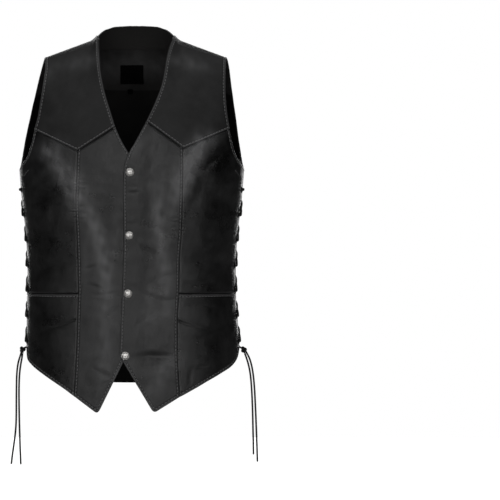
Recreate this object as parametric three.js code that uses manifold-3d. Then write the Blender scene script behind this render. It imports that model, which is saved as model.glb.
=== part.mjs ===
// A sleeveless leather vest with a V neck, pointed yokes, four snaps and laced sides.
// It keeps the hollow form that it has when worn, on a general figure. Millimetres, +Z up.
// The front faces -Y and the wearer's left is at +X. The origin lies between the shoulders.

import * as THREE from 'three';
import { mergeVertices } from 'three/addons/utils/BufferGeometryUtils.js';
import Module from 'manifold-3d';

const wasm = await Module();
wasm.setup();

// Walls and seams
const leather = 2.0;
const yokeRise = 0.9;
const seamGap = 0.36;
const liningWall = 1.2;
const liningDepth = leather + 0.6;
const facingFirstRow = 2;
const liningFromLaces = 2;
const patchWall = 1.0;
const patchDepth = liningDepth + liningWall + 0.8;
const labelPatch = { x: -1.5, z: -43, width: 41, height: 33 };
const sizeTab = { x: -5, z: -73, width: 9, height: 8 };

// Shoulder line, seen from the front: height over the middle and fall per mm outwards
const ridgeTop = 43;
const ridgeFall = 0.37;
const napeRise = 26.5;
const napeFrom = 36;
const napeTo = 80;
const napeFade = 130;

// How the wall rolls over the shoulder: full depth is reached this far below the ridge
const rollDrop = 220;
const rollPower = 0.6;
const rollReach = 90;

// Rings of the body, from the top down
const rings = [
  { z: 60, halfWidth: 198, front: 110, back: 112, frontPower: 2.3, backPower: 2.6, centre: 6 },
  { z: -20, halfWidth: 198, front: 111, back: 114, frontPower: 2.3, backPower: 2.6, centre: 6 },
  { z: -60, halfWidth: 199, front: 112, back: 116, frontPower: 2.3, backPower: 2.6, centre: 3.4 },
  { z: -110, halfWidth: 199, front: 114, back: 117, frontPower: 2.3, backPower: 2.6, centre: 1 },
  { z: -160, halfWidth: 196, front: 116, back: 117, frontPower: 2.3, backPower: 2.5, centre: -0.9 },
  { z: -212, halfWidth: 193.5, front: 118, back: 114, frontPower: 2.3, backPower: 2.4, centre: -0.9 },
  { z: -267, halfWidth: 189, front: 116, back: 108, frontPower: 2.3, backPower: 2.3, centre: -0.9 },
  { z: -321, halfWidth: 182.5, front: 112, back: 101, frontPower: 2.3, backPower: 2.3, centre: -0.9 },
  { z: -376, halfWidth: 180, front: 109, back: 97, frontPower: 2.3, backPower: 2.3, centre: -1.2 },
  { z: -432, halfWidth: 180.5, front: 108, back: 97, frontPower: 2.3, backPower: 2.3, centre: -1.2 },
  { z: -500, halfWidth: 183.5, front: 110, back: 101, frontPower: 2.3, backPower: 2.3, centre: 1 },
  { z: -560, halfWidth: 184, front: 112, back: 105, frontPower: 2.3, backPower: 2.3, centre: 1 },
  { z: -660, halfWidth: 184, front: 113, back: 109, frontPower: 2.3, backPower: 2.3, centre: 1 },
];

// Soft folds: middle, direction from level, half length, half width, depth (+ is a trough)
const folds = [
  { side: 'front', x: 42, z: -527, turn: 2, length: 34, width: 13, depth: 2.6 },
  { side: 'front', x: 44, z: -556, turn: 8, length: 34, width: 15, depth: -2.0 },
  { side: 'front', x: -52, z: -300, turn: 84, length: 90, width: 17, depth: 2.4 },
  { side: 'front', x: 50, z: -330, turn: 97, length: 105, width: 18, depth: 2.2 },
  { side: 'front', x: -135, z: -236, turn: 40, length: 46, width: 16, depth: 2.6 },
  { side: 'front', x: 138, z: -246, turn: -38, length: 50, width: 16, depth: 2.4 },
  { side: 'front', x: -128, z: -372, turn: 14, length: 42, width: 15, depth: 2.2 },
  { side: 'front', x: 132, z: -368, turn: -12, length: 44, width: 15, depth: 2.2 },
  { side: 'front', x: -62, z: -520, turn: 70, length: 60, width: 17, depth: 2.2 },
  { side: 'back', x: 112, z: -352, turn: 8, length: 34, width: 13, depth: 3.0 },
  { side: 'back', x: 116, z: -386, turn: 3, length: 30, width: 12, depth: 2.6 },
  { side: 'back', x: 110, z: -420, turn: -5, length: 36, width: 14, depth: 2.8 },
  { side: 'back', x: -114, z: -358, turn: -7, length: 36, width: 13, depth: 3.0 },
  { side: 'back', x: -112, z: -394, turn: -2, length: 30, width: 12, depth: 2.6 },
  { side: 'back', x: -116, z: -430, turn: 6, length: 34, width: 14, depth: 2.8 },
  { side: 'back', x: 134, z: -178, turn: 12, length: 40, width: 14, depth: 2.4 },
  { side: 'back', x: -136, z: -182, turn: -12, length: 42, width: 14, depth: 2.4 },
  { side: 'back', x: 0, z: -300, turn: 90, length: 130, width: 26, depth: 3.0 },
];

// Shoulder seam, as a drop in front of the ridge
const shoulderSeam = { neck: 64.5, tip: 156, neckDrop: 9, tipDrop: 3.4 };
const tipSpread = 1.5;
const ridgeSink = 0.2;

// Outlines of the fronts, from the top down, one row a point: wearer's right, wearer's left
const neckEdge = {
  right: [
    { x: -55, z: -25.8 }, { x: -47.5, z: -68.8 }, { x: -37.8, z: -101.5 }, { x: -28.2, z: -132.4 },
  ],
  left: [
    { x: 59.3, z: -18.9 }, { x: 51.3, z: -61 }, { x: 39, z: -93.9 }, { x: 25.3, z: -123 },
  ],
};
const closingEdge = {
  right: [
    { x: -28.2, z: -132.4 }, { x: -17.2, z: -156.5 }, { x: -5.2, z: -177.2 }, { x: 3.5, z: -196 },
    { x: 7.4, z: -225 }, { x: 7.4, z: -345 }, { x: 5, z: -420 }, { x: 1.4, z: -505 },
  ],
  left: [
    { x: 25.3, z: -123 }, { x: 11.5, z: -148.8 }, { x: -4.3, z: -177.2 }, { x: -11, z: -194 },
    { x: -13.6, z: -215 }, { x: -13.8, z: -345 }, { x: -16.3, z: -420 }, { x: -19.8, z: -509 },
    { x: -19.8, z: -528 },
  ],
};
const princessSeam = {
  right: [
    { x: -92.9, z: -173.7 }, { x: -95.5, z: -233.9 }, { x: -96.3, z: -276.9 }, { x: -93.7, z: -345.7 },
    { x: -92, z: -420.5 }, { x: -93.7, z: -466 }, { x: -96.7, z: -545.2 }, { x: -100, z: -595.3 },
  ],
  left: [
    { x: 88.5, z: -169.4 }, { x: 87.7, z: -259.7 }, { x: 86, z: -311.3 }, { x: 83.4, z: -345.7 },
    { x: 81.7, z: -420.5 }, { x: 79.1, z: -466 }, { x: 79.1, z: -517.7 }, { x: 82.6, z: -596.8 },
  ],
};
const frontArmhole = {
  right: [
    { x: -150.3, z: -39.6 }, { x: -156, z: -80 }, { x: -162.5, z: -118.7 }, { x: -167.9, z: -138.5 },
  ],
  left: [
    { x: 161, z: -39.6 }, { x: 161.7, z: -91.2 }, { x: 164.6, z: -116 }, { x: 167.9, z: -136.5 },
  ],
};
const frontUnderarm = {
  right: [{ x: -167.9, z: -138.5 }, { x: -174.9, z: -170.3 }, { x: -182.5, z: -188 }],
  left: [{ x: 167.9, z: -136.5 }, { x: 175.4, z: -172 }, { x: 183, z: -190 }],
};
const frontHem = {
  right: [
    { x: -181.5, z: -531 }, { x: -173.7, z: -543 }, { x: -158, z: -555.6 }, { x: -137.6, z: -569.3 },
    { x: -117, z: -583 }, { x: -100, z: -595.3 },
  ],
  left: [
    { x: 182.3, z: -530 }, { x: 174.4, z: -543 }, { x: 156.5, z: -555.6 }, { x: 132.4, z: -569.3 },
    { x: 108.4, z: -583 }, { x: 82.6, z: -596.8 },
  ],
};
const frontPoint = {
  right: { tip: { x: -58.5, z: -626 }, end: { x: 1.4, z: -505 } },
  left: { tip: { x: 37.8, z: -624.4 }, end: { x: -19.8, z: -528 } },
};
const yokePoint = { right: { x: -92.9, z: -173.7 }, left: { x: 88.5, z: -169.4 } };
const pocketHeight = -420.5;

// Outlines of the back, for +X, from the top down: distance from the middle and height
const napeEdge = [
  { x: 66, z: 22.4 }, { x: 62.8, z: 25.8 }, { x: 59, z: 29.2 }, { x: 54, z: 32.7 },
  { x: 44, z: 36 }, { x: 25, z: 38.8 }, { x: 0, z: 40 },
];
const backArmhole = [
  { x: 162, z: -32 }, { x: 167, z: -58 }, { x: 173, z: -90 }, { x: 178, z: -116 },
  { x: 182.5, z: -143 }, { x: 187, z: -168 }, { x: 189.5, z: -184 },
];
const backSeam = [
  { x: 189.5, z: -184 }, { x: 176, z: -238 }, { x: 162, z: -286 }, { x: 150, z: -334 },
  { x: 143, z: -396 }, { x: 138.5, z: -495 }, { x: 138, z: -573.6 },
];
const backHemHeight = { middle: -580, seam: -573.6 };
const backHemCorner = [{ x: 138, z: -573.6 }, { x: 154, z: -569.5 }, { x: 169.5, z: -556 }];

// Laced sides: half the gap, the span of the laced edges, and the eyelets on them
const gapHalf = 9;
const lacedTop = -208;
const lacedBottom = -514;
const lacedHeights = [lacedTop, -280, -350, pocketHeight, -470, lacedBottom];
const eyeletRows = 7;
const eyeletFirst = -243;
const eyeletPitch = 43.5;
const eyeletInset = 9.5;
const eyelet = { bore: 2.5, rim: 4.8, chamfer: 0.5, lift: 0.4, height: 0.7, hole: 3.2, sides: 7 };
const drillLength = 14;
const drillSides = 6;

// One lace strand from an eyelet to the next row: distance in front of or behind the side line,
// share of the way down to the next row, and height over the leather
const lace = { radius: 1.6, sides: 6, cross: 2 };
const laceEye = gapHalf + eyeletInset;
const laceNearEye = laceEye - 4;
const crossing = [
  { fromSide: laceEye, share: 0, out: 2.2 }, { fromSide: laceEye, share: 0, out: -3.4 },
  { fromSide: laceNearEye, share: 0.08, out: -5.4 }, { fromSide: gapHalf, share: 0.26, out: -4.6 },
  { fromSide: 0, share: 0.5, out: -0.9 }, { fromSide: -gapHalf, share: 0.74, out: 2.6 },
  { fromSide: -laceNearEye, share: 0.92, out: 3.9 },
];
const lastCrossing = [
  { fromSide: laceEye, share: 0, out: 2.2 }, { fromSide: laceEye, share: 0, out: -3.4 },
  { fromSide: laceNearEye, share: 0.04, out: -5.4 }, { fromSide: gapHalf, share: 0.14, out: -4.6 },
  { fromSide: 3.4, share: 0.22, out: -1.4 }, { fromSide: 2.2, share: 0.25, out: 1.4 },
];
const topBar = { rise: 1.5, eye: 3.9, middle: 2.6 };

// The knot, and the short lengths of lace that leave it
const knotDrop = 14.5;
const knot = { out: 7, radius: 4.9, bandRadius: 4.4, bandWire: 1.4, tilts: [0.5, -0.7], stub: 5 };
const faceGap = 0.3;

// Snaps: the profile of a cap runs from its middle underneath to its top
const snap = { lift: 0.4, sides: 14 };
const snapProfile = [
  { across: 0, up: 0 }, { across: 6.3, up: 0 }, { across: 6.9, up: 0.5 }, { across: 6.6, up: 1.1 },
  { across: 5.3, up: 1.95 }, { across: 2.8, up: 2.5 }, { across: 0, up: 2.6 },
];
const snapPlaces = [
  { x: -2.9, z: -210.7 }, { x: -4.3, z: -319 }, { x: -6.2, z: -419.3 }, { x: -11, z: -526 },
];
const overlapWidth = 21;
const overlapRise = leather + 0.8;
const overlapFade = 26;
const closingStart = -194;

// Free lace ends, from the knot down: four routes of hand-chosen points
const laceEnds = {
  lace_end_right_outer: [
    [-191.9, -2.9, -524.6], [-193.9, -4, -531], [-196.6, -4.7, -540], [-198.4, -5.3, -551],
    [-199.4, -5.6, -564], [-199.8, -5.8, -578], [-200, -6, -594], [-200.1, -6.1, -612],
    [-200.2, -6.2, -630], [-200.6, -6.3, -646], [-201.6, -6.4, -660], [-203.2, -6.5, -674],
    [-205.2, -6.5, -688], [-207.2, -6.5, -702], [-208.8, -6.4, -716],
  ],
  lace_end_right_inner: [
    [-189.6, 2.1, -525], [-190.6, 2, -533], [-192.4, 1.7, -543], [-194, 1.4, -554],
    [-195, 1.1, -566], [-195.5, 0.9, -579], [-195.7, 0.7, -593], [-195.6, 0.5, -608],
    [-195.4, 0.3, -624], [-195.1, 0.2, -640], [-194.7, 0, -656], [-194.2, -0.2, -672],
    [-193.7, -0.4, -688], [-193.1, -0.6, -703], [-192.6, -0.8, -717],
  ],
  lace_end_left_outer: [
    [196.6, -2.9, -523], [200.2, -4, -529.6], [203.6, -4.9, -538], [206.4, -5.4, -549],
    [208.4, -5.7, -561], [209.8, -5.9, -574], [210.9, -6, -588], [211.7, -6.1, -603],
    [212.4, -6.2, -618], [213.1, -6.3, -634], [213.7, -6.4, -650], [214.3, -6.5, -666],
    [214.9, -6.5, -682], [215.4, -6.5, -698], [215.8, -6.4, -712],
  ],
  lace_end_left_inner: [
    [193.8, 2.1, -524.8], [196.6, 2, -532.4], [199.6, 1.7, -542], [202.2, 1.4, -553],
    [204, 1.1, -565], [205.2, 0.9, -578], [206.1, 0.7, -592], [206.8, 0.5, -606],
    [207.3, 0.3, -620], [207.7, 0.2, -634], [208, 0, -648], [208.3, -0.1, -662],
    [208.6, -0.3, -675], [208.8, -0.4, -688], [209, -0.5, -700],
  ],
};
const laceEndSides = 8;
const laceEndSpacing = 9.4;

// Colours and finishes
const finishes = {
  yoke: { color: 0x222222, roughness: 0.62, metalness: 0 },
  panel: { color: 0x191919, roughness: 0.42, metalness: 0 },
  side: { color: 0x121212, roughness: 0.46, metalness: 0 },
  back: { color: 0x1d1d1d, roughness: 0.5, metalness: 0 },
  lining: { color: 0x0e0d0d, roughness: 0.7, metalness: 0 },
  facing: { color: 0x15110f, roughness: 0.6, metalness: 0 },
  patch: { color: 0x0a0a0a, roughness: 0.8, metalness: 0 },
  metal: { color: 0xb8b6b0, roughness: 0.32, metalness: 1 },
  eyelet: { color: 0x1a1a1a, roughness: 0.4, metalness: 1 },
  lace: { color: 0x101010, roughness: 0.6, metalness: 0 },
};

const { abs, acos, asin, cos, exp, max, min, PI, round, sign, sin } = Math;

// The wearer's right and left, and the length that one radian round the body stands for
const hands = [-1, 1];
const radianLength = 130;
const curveDivisions = 400;
const halvings = 40;
const settlingPasses = 5;
const probeTurn = 0.01;
const probeSlide = 0.8;
const outwardLift = 60;

function smoothstep(from, to, value) {
  const t = min(1, max(0, (value - from) / (to - from)));
  return t * t * (3 - 2 * t);
}

// The body ring at a height, its values run smoothly through the table
function ringAt(z) {
  const last = rings.length - 2;
  let k = rings.findIndex((ring) => ring.z < z) - 1;
  if (k < 0) k = z > rings[0].z ? 0 : last;
  const rows = [rings[max(0, k - 1)], rings[k], rings[k + 1], rings[min(last + 1, k + 2)]];
  const t = min(1, max(0, (z - rows[1].z) / (rows[2].z - rows[1].z)));
  const found = {};
  for (const key of Object.keys(rows[1])) {
    const [a, b, c, d] = rows.map((row) => row[key]);
    const slopeIn = (c - a) / 2;
    const slopeOut = (d - b) / 2;
    const bend = 3 * (c - b) - 2 * slopeIn - slopeOut;
    const twist = 2 * (b - c) + slopeIn + slopeOut;
    found[key] = b + slopeIn * t + bend * t * t + twist * t * t * t;
  }
  return found;
}

// The ridge above a point: its rise over the nape has faded out this far down the wall
function ridgeAt(offset, drop = 0) {
  const reach = abs(offset);
  const nape = napeRise * (1 - smoothstep(napeFrom, napeTo, reach));
  return ridgeTop - ridgeFall * reach + nape * (1 - smoothstep(0, napeFade, drop));
}

function dropAt(offset, z) {
  let drop = max(0, ridgeAt(offset) - z);
  for (let pass = 0; pass < halvings; pass += 1) drop = max(0, ridgeAt(offset, drop) - z);
  return drop;
}

function rollAt(drop) {
  const left = 1 - min(drop, rollDrop) / rollDrop;
  return (1 - left * left) ** rollPower;
}

// The level is a distance down the wall from the ridge, and a drop is the same straight down
function levelOf(drop) {
  return drop + rollReach * rollAt(drop);
}

function dropOf(level) {
  let low = 0;
  let high = level;
  for (let step = 0; step < halvings; step += 1) {
    const middle = (low + high) / 2;
    if (levelOf(middle) < level) low = middle;
    else high = middle;
  }
  return (low + high) / 2;
}

// Where a point of the front or back view lies on the wall: [angle round the body, level]
function spot(side, x, z) {
  const ring = ringAt(z);
  const power = side === 'front' ? ring.frontPower : ring.backPower;
  const offset = x - ring.centre;
  const turn = acos(min(1, abs(offset) / ring.halfWidth) ** (power / 2));
  return [offset >= 0 ? turn : PI - turn, levelOf(dropAt(offset, z))];
}

// The same for a point given by its distance behind or in front of the side line
function sideSpot(side, hand, fromSide, z) {
  const ring = ringAt(z);
  const power = side === 'front' ? ring.frontPower : ring.backPower;
  const turn = asin((fromSide / ring[side]) ** (power / 2));
  const offset = ring.halfWidth * cos(turn) ** (2 / power);
  return [hand > 0 ? turn : PI - turn, levelOf(dropAt(offset, z))];
}

function foldAt(side, x, z) {
  let sum = 0;
  for (const fold of folds) {
    if (fold.side !== side) continue;
    const turn = (fold.turn * PI) / 180;
    const along = (x - fold.x) * cos(turn) + (z - fold.z) * sin(turn);
    const across = (z - fold.z) * cos(turn) - (x - fold.x) * sin(turn);
    sum += fold.depth * exp(-((along / fold.length) ** 2) - (across / fold.width) ** 2);
  }
  return sum;
}

// A point of the plain form: a negative level has passed over the ridge to the other side
function formAt(side, [angle, level]) {
  const drop = dropOf(abs(level));
  const away = level < 0;
  const face = (side === 'front') !== away ? 'front' : 'back';
  let z = ridgeTop - drop;
  let x = 0;
  let ring = ringAt(z);
  for (let pass = 0; pass < settlingPasses; pass += 1) {
    const power = side === 'front' ? ring.frontPower : ring.backPower;
    x = ring.halfWidth * sign(cos(angle)) * abs(cos(angle)) ** (2 / power);
    z = ridgeAt(x, drop) - drop;
    ring = ringAt(z);
  }
  const power = face === 'front' ? ring.frontPower : ring.backPower;
  let share = abs(sin(angle)) ** (2 / power);
  if (away) share = (1 - (abs(x) / ring.halfWidth) ** power) ** (1 / power);
  const depth = ring[face] * share * rollAt(drop);
  return new THREE.Vector3(ring.centre + x, face === 'front' ? -depth : depth, z);
}

function normalAt(side, [angle, level]) {
  const [more, less] = [1, -1].map((way) => formAt(side, [angle + way * probeTurn, level]));
  const [low, high] = [1, -1].map((way) => formAt(side, [angle, level + way * probeSlide]));
  const normal = more.sub(less).cross(low.sub(high)).normalize();
  const point = formAt(side, [angle, level]);
  const outward = new THREE.Vector3(point.x, point.y, outwardLift);
  if (normal.dot(outward) < 0) normal.negate();
  return normal;
}

// A point of the finished wall, with its folds, this far out from the leather's outer face
function wallPoint(side, place, out) {
  const point = formAt(side, place);
  const normal = normalAt(side, place);
  return point.addScaledVector(normal, out - foldAt(side, point.x, point.z));
}

// Points spaced evenly along a smooth line through the given places
function spaced(places, count) {
  const curve = new THREE.CatmullRomCurve3(
    places.map(([angle, level]) => new THREE.Vector3(angle * radianLength, level, 0)),
    false, 'centripetal');
  curve.arcLengthDivisions = curveDivisions;
  return curve.getSpacedPoints(count).map((point) => [point.x / radianLength, point.y]);
}

// Points along legs that are straight in the front view, with a count for each leg
function legs(corners, counts) {
  const points = [corners[0]];
  counts.forEach((count, leg) => {
    const [from, to] = [corners[leg], corners[leg + 1]];
    for (let k = 1; k <= count; k += 1) {
      const t = k / count;
      points.push({ x: from.x * (1 - t) + to.x * t, z: from.z * (1 - t) + to.z * t });
    }
  });
  return points.map(({ x, z }) => spot('front', x, z));
}

function joined(...lines) {
  return lines.flatMap((line, index) => (index === 0 ? line : line.slice(1)));
}

// A net of places between four edges, top and bottom from left to right, sides downwards
function netBetween(top, bottom, left, right) {
  const rows = left.length - 1;
  const columns = top.length - 1;
  return left.map((_, row) => top.map((__, column) => {
    const v = row / rows;
    const u = column / columns;
    return [0, 1].map((axis) => (1 - v) * top[column][axis] + v * bottom[column][axis]
      + (1 - u) * left[row][axis] + u * right[row][axis]
      - (1 - u) * (1 - v) * top[0][axis] - u * (1 - v) * top[columns][axis]
      - (1 - u) * v * bottom[0][axis] - u * v * bottom[columns][axis]);
  }));
}

function closedGeometry(positions, indices) {
  const geometry = new THREE.BufferGeometry();
  geometry.setAttribute('position', new THREE.Float32BufferAttribute(positions, 3));
  geometry.setIndex(indices);
  const corner = [0, 1, 2].map(() => new THREE.Vector3());
  let volume = 0;
  for (let k = 0; k < indices.length; k += 3) {
    corner.forEach((point, j) => point.fromArray(positions, indices[k + j] * 3));
    volume += corner[0].dot(corner[1].clone().cross(corner[2]));
  }
  if (volume < 0) {
    for (let k = 0; k < indices.length; k += 3) {
      [indices[k + 1], indices[k + 2]] = [indices[k + 2], indices[k + 1]];
    }
    geometry.setIndex(indices);
  }
  return geometry;
}

// A leather wall over a net of places. rise(point) gives how far its outer face stands out
function wallGeometry(side, net, rise, wall) {
  const rows = net.length;
  const columns = net[0].length;
  const skins = [[], []];
  net.forEach((line) => line.forEach((place) => {
    const out = rise(formAt(side, place));
    skins[0].push(wallPoint(side, place, out));
    skins[1].push(wallPoint(side, place, out - wall));
  }));
  for (const skin of skins) {
    const inset = (edge, inner) => {
      const step = skin[inner].clone().sub(skin[edge]);
      return step.multiplyScalar(seamGap / 2 / step.length());
    };
    const moves = skin.map(() => new THREE.Vector3());
    for (let column = 0; column < columns; column += 1) {
      moves[column].add(inset(column, column + columns));
      const low = (rows - 1) * columns + column;
      moves[low].add(inset(low, low - columns));
    }
    for (let row = 0; row < rows; row += 1) {
      moves[row * columns].add(inset(row * columns, row * columns + 1));
      const far = row * columns + columns - 1;
      moves[far].add(inset(far, far - 1));
    }
    skin.forEach((point, index) => point.add(moves[index]));
  }
  const positions = skins.flat().flatMap((point) => point.toArray());
  const shift = rows * columns;
  const indices = [];
  const quad = (a, b, c, d) => indices.push(a, b, c, a, c, d);
  for (let row = 0; row < rows - 1; row += 1) {
    for (let column = 0; column < columns - 1; column += 1) {
      const a = row * columns + column;
      const b = a + columns;
      quad(a, b, b + 1, a + 1);
      quad(a + shift, a + 1 + shift, b + 1 + shift, b + shift);
    }
  }
  const rim = [];
  for (let column = 0; column < columns - 1; column += 1) rim.push(column);
  for (let row = 0; row < rows - 1; row += 1) rim.push(row * columns + columns - 1);
  for (let column = columns - 1; column > 0; column -= 1) rim.push((rows - 1) * columns + column);
  for (let row = rows - 1; row > 0; row -= 1) rim.push(row * columns);
  rim.forEach((from, index) => {
    const to = rim[(index + 1) % rim.length];
    quad(from, to, to + shift, from + shift);
  });
  return closedGeometry(positions, indices);
}

function solidOf(geometry) {
  const bare = geometry.clone();
  bare.deleteAttribute('normal');
  bare.deleteAttribute('uv');
  const merged = mergeVertices(bare, 1e-4);
  return new wasm.Manifold(new wasm.Mesh({
    numProp: 3,
    vertProperties: new Float32Array(merged.attributes.position.array),
    triVerts: new Uint32Array(merged.index.array),
  }));
}

function geometryOf(solid) {
  const mesh = solid.getMesh();
  const geometry = new THREE.BufferGeometry();
  geometry.setAttribute('position', new THREE.Float32BufferAttribute(mesh.vertProperties, 3));
  geometry.setIndex(Array.from(mesh.triVerts));
  return geometry;
}

const vest = new THREE.Group();

function place(name, geometry, finish) {
  const mesh = new THREE.Mesh(geometry, new THREE.MeshStandardMaterial(finishes[finish]));
  mesh.name = name;
  vest.add(mesh);
  return mesh;
}

// Eyelets: the places on the four laced edges
function eyeletFrame(side, hand, row, out) {
  const z = eyeletFirst - row * eyeletPitch;
  const spotOnEdge = sideSpot(side, hand, laceEye, z);
  return { point: wallPoint(side, spotOnEdge, out), normal: normalAt(side, spotOnEdge) };
}

function withHoles(geometry, side, hand, rows) {
  let solid = solidOf(geometry);
  for (const row of rows) {
    const { point, normal } = eyeletFrame(side, hand, row, 0);
    const drill = new THREE.CylinderGeometry(eyelet.hole, eyelet.hole, drillLength, drillSides);
    drill.applyQuaternion(new THREE.Quaternion().setFromUnitVectors(new THREE.Vector3(0, 1, 0), normal));
    drill.translate(...point.toArray());
    solid = solid.subtract(solidOf(drill));
  }
  return geometryOf(solid);
}

const eyeletRowList = Array.from({ length: eyeletRows }, (_, row) => row);
const isUpper = (row) => eyeletFirst - row * eyeletPitch > pocketHeight;

// The closing edge of the wearer's left front lies on the right one, so it stands out there
function closingX(z) {
  const edge = closingEdge.left.filter((row) => row.z <= closingStart);
  for (let k = 0; k < edge.length - 1; k += 1) {
    if (z <= edge[k].z && z >= edge[k + 1].z) {
      const t = (z - edge[k].z) / (edge[k + 1].z - edge[k].z);
      return edge[k].x + t * (edge[k + 1].x - edge[k].x);
    }
  }
  return z > edge[0].z ? edge[0].x : edge[edge.length - 1].x;
}

function closingRise(point) {
  const beyond = point.x - closingX(point.z) - overlapWidth;
  return overlapRise * (1 - smoothstep(0, overlapFade, beyond));
}

const plain = () => 0;

// Counts of the net's cells along each shared seam
const cells = {
  yokeOuter: 7, yokeInner: 5, yokeRows: 7, princessUpper: 12, princessLower: 8,
  armhole: 4, point: 2, backRows: 18, armholeRows: 10, shoulder: 4, nape: 8, backSide: 6,
};

function makeFront(hand) {
  const wearer = hand < 0 ? 'right' : 'left';
  const at = ({ x, z }) => spot('front', x, z);
  const shoulderAt = (t) => {
    const offset = hand * (shoulderSeam.neck * (1 - t) + shoulderSeam.tip * t);
    const drop = shoulderSeam.neckDrop * (1 - t) + shoulderSeam.tipDrop * t;
    const z = ridgeAt(offset, drop) - drop;
    return spot('front', offset + ringAt(z).centre, z);
  };

  // Shared seams: each is one list of places that both neighbours use
  const corner = yokePoint[wearer];
  const yokeOuter = legs([frontUnderarm[wearer][0], corner], [cells.yokeOuter]);
  const yokeInner = legs([corner, closingEdge[wearer][0]], [cells.yokeInner]);
  const seam = princessSeam[wearer];
  const seamUpper = spaced(seam.filter((row) => row.z >= pocketHeight).map(at), cells.princessUpper);
  const seamLower = spaced(seam.filter((row) => row.z <= pocketHeight).map(at), cells.princessLower);
  const lacedAt = (z) => sideSpot('front', hand, gapHalf, z);
  const pocketPlaces = Array.from({ length: cells.yokeOuter + 1 }, (_, k) => {
    const pocketEnd = lacedAt(pocketHeight);
    const seamEnd = at(seam.find((row) => row.z === pocketHeight));
    const angle = pocketEnd[0] + ((seamEnd[0] - pocketEnd[0]) * k) / cells.yokeOuter;
    const ring = ringAt(pocketHeight);
    const offset = ring.halfWidth * sign(cos(angle)) * abs(cos(angle)) ** (2 / ring.frontPower);
    return [angle, levelOf(dropAt(offset, pocketHeight))];
  });
  const lacedUpper = spaced(lacedHeights.filter((z) => z >= pocketHeight).map(lacedAt),
    cells.princessUpper - cells.armhole);
  const lacedLower = spaced(lacedHeights.filter((z) => z <= pocketHeight).map(lacedAt),
    cells.princessLower);
  const underarm = spaced([...frontUnderarm[wearer].map(at), lacedAt(lacedTop)], cells.armhole);
  const hem = spaced([lacedAt(lacedBottom), ...frontHem[wearer].map(at)], cells.yokeOuter);
  const hemEnd = seamLower[seamLower.length - 1];
  hem[hem.length - 1] = hemEnd;

  // Yoke
  const shoulder = Array.from({ length: cells.yokeOuter + cells.yokeInner + 1 },
    (_, k) => shoulderAt(1 - k / (cells.yokeOuter + cells.yokeInner)));
  const yokeNeck = spaced([shoulderAt(0), ...neckEdge[wearer].map(at)], cells.yokeRows);
  const yokeArm = spaced([shoulderAt(1), ...frontArmhole[wearer].map(at)], cells.yokeRows);
  const yokeNet = netBetween(shoulder, joined(yokeOuter, yokeInner), yokeArm, yokeNeck);
  place(`yoke_${wearer}`, wallGeometry('front', yokeNet, () => yokeRise, leather + yokeRise), 'yoke');

  // Centre front, from the yoke to its point below the hem
  const closing = spaced(closingEdge[wearer].map(at), cells.princessUpper + cells.princessLower);
  const corners = [seam[seam.length - 1], frontPoint[wearer].tip, frontPoint[wearer].end];
  const pointLine = legs(corners, [cells.point, cells.yokeInner - cells.point]);
  const centreNet = netBetween(yokeInner, pointLine, joined(seamUpper, seamLower), closing);
  const rise = hand > 0 ? closingRise : plain;
  place(`front_center_${wearer}`, wallGeometry('front', centreNet, rise, leather), 'panel');

  // Side front above and below the pocket seam
  const upperNet = netBetween(yokeOuter, pocketPlaces, joined(underarm, lacedUpper), seamUpper);
  const upper = wallGeometry('front', upperNet, plain, leather);
  place(`front_side_upper_${wearer}`,
    withHoles(upper, 'front', hand, eyeletRowList.filter(isUpper)), 'side');
  const lowerNet = netBetween(pocketPlaces, hem, lacedLower, seamLower);
  const lower = wallGeometry('front', lowerNet, plain, leather);
  place(`front_side_lower_${wearer}`,
    withHoles(lower, 'front', hand, eyeletRowList.filter((row) => !isUpper(row))), 'side');
}

// Places on the back, for a distance from the middle line on the hand's side
function backSpot(hand, x, z) {
  return spot('back', ringAt(z).centre + hand * x, z);
}

function backEdges(hand) {
  const at = ({ x, z }) => backSpot(hand, x, z);
  const shoulderAt = (t) => {
    const offset = shoulderSeam.neck * (1 - t) + shoulderSeam.tip * t;
    const drop = shoulderSeam.neckDrop * (1 - t) + shoulderSeam.tipDrop * t;
    const [angle] = backSpot(hand, offset, ridgeAt(offset, drop) - drop);
    return [angle, -levelOf(drop)];
  };
  return { at, shoulderAt, lacedAt: (z) => sideSpot('back', hand, gapHalf, z) };
}

function levelLine(fromAngle, toAngle, count, heightAt) {
  return Array.from({ length: count + 1 }, (_, k) => {
    const angle = fromAngle + ((toAngle - fromAngle) * k) / count;
    const share = k / count;
    const z = heightAt(share);
    const ring = ringAt(z);
    const offset = ring.halfWidth * sign(cos(angle)) * abs(cos(angle)) ** (2 / ring.backPower);
    return [angle, levelOf(dropAt(offset, z))];
  });
}

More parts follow.
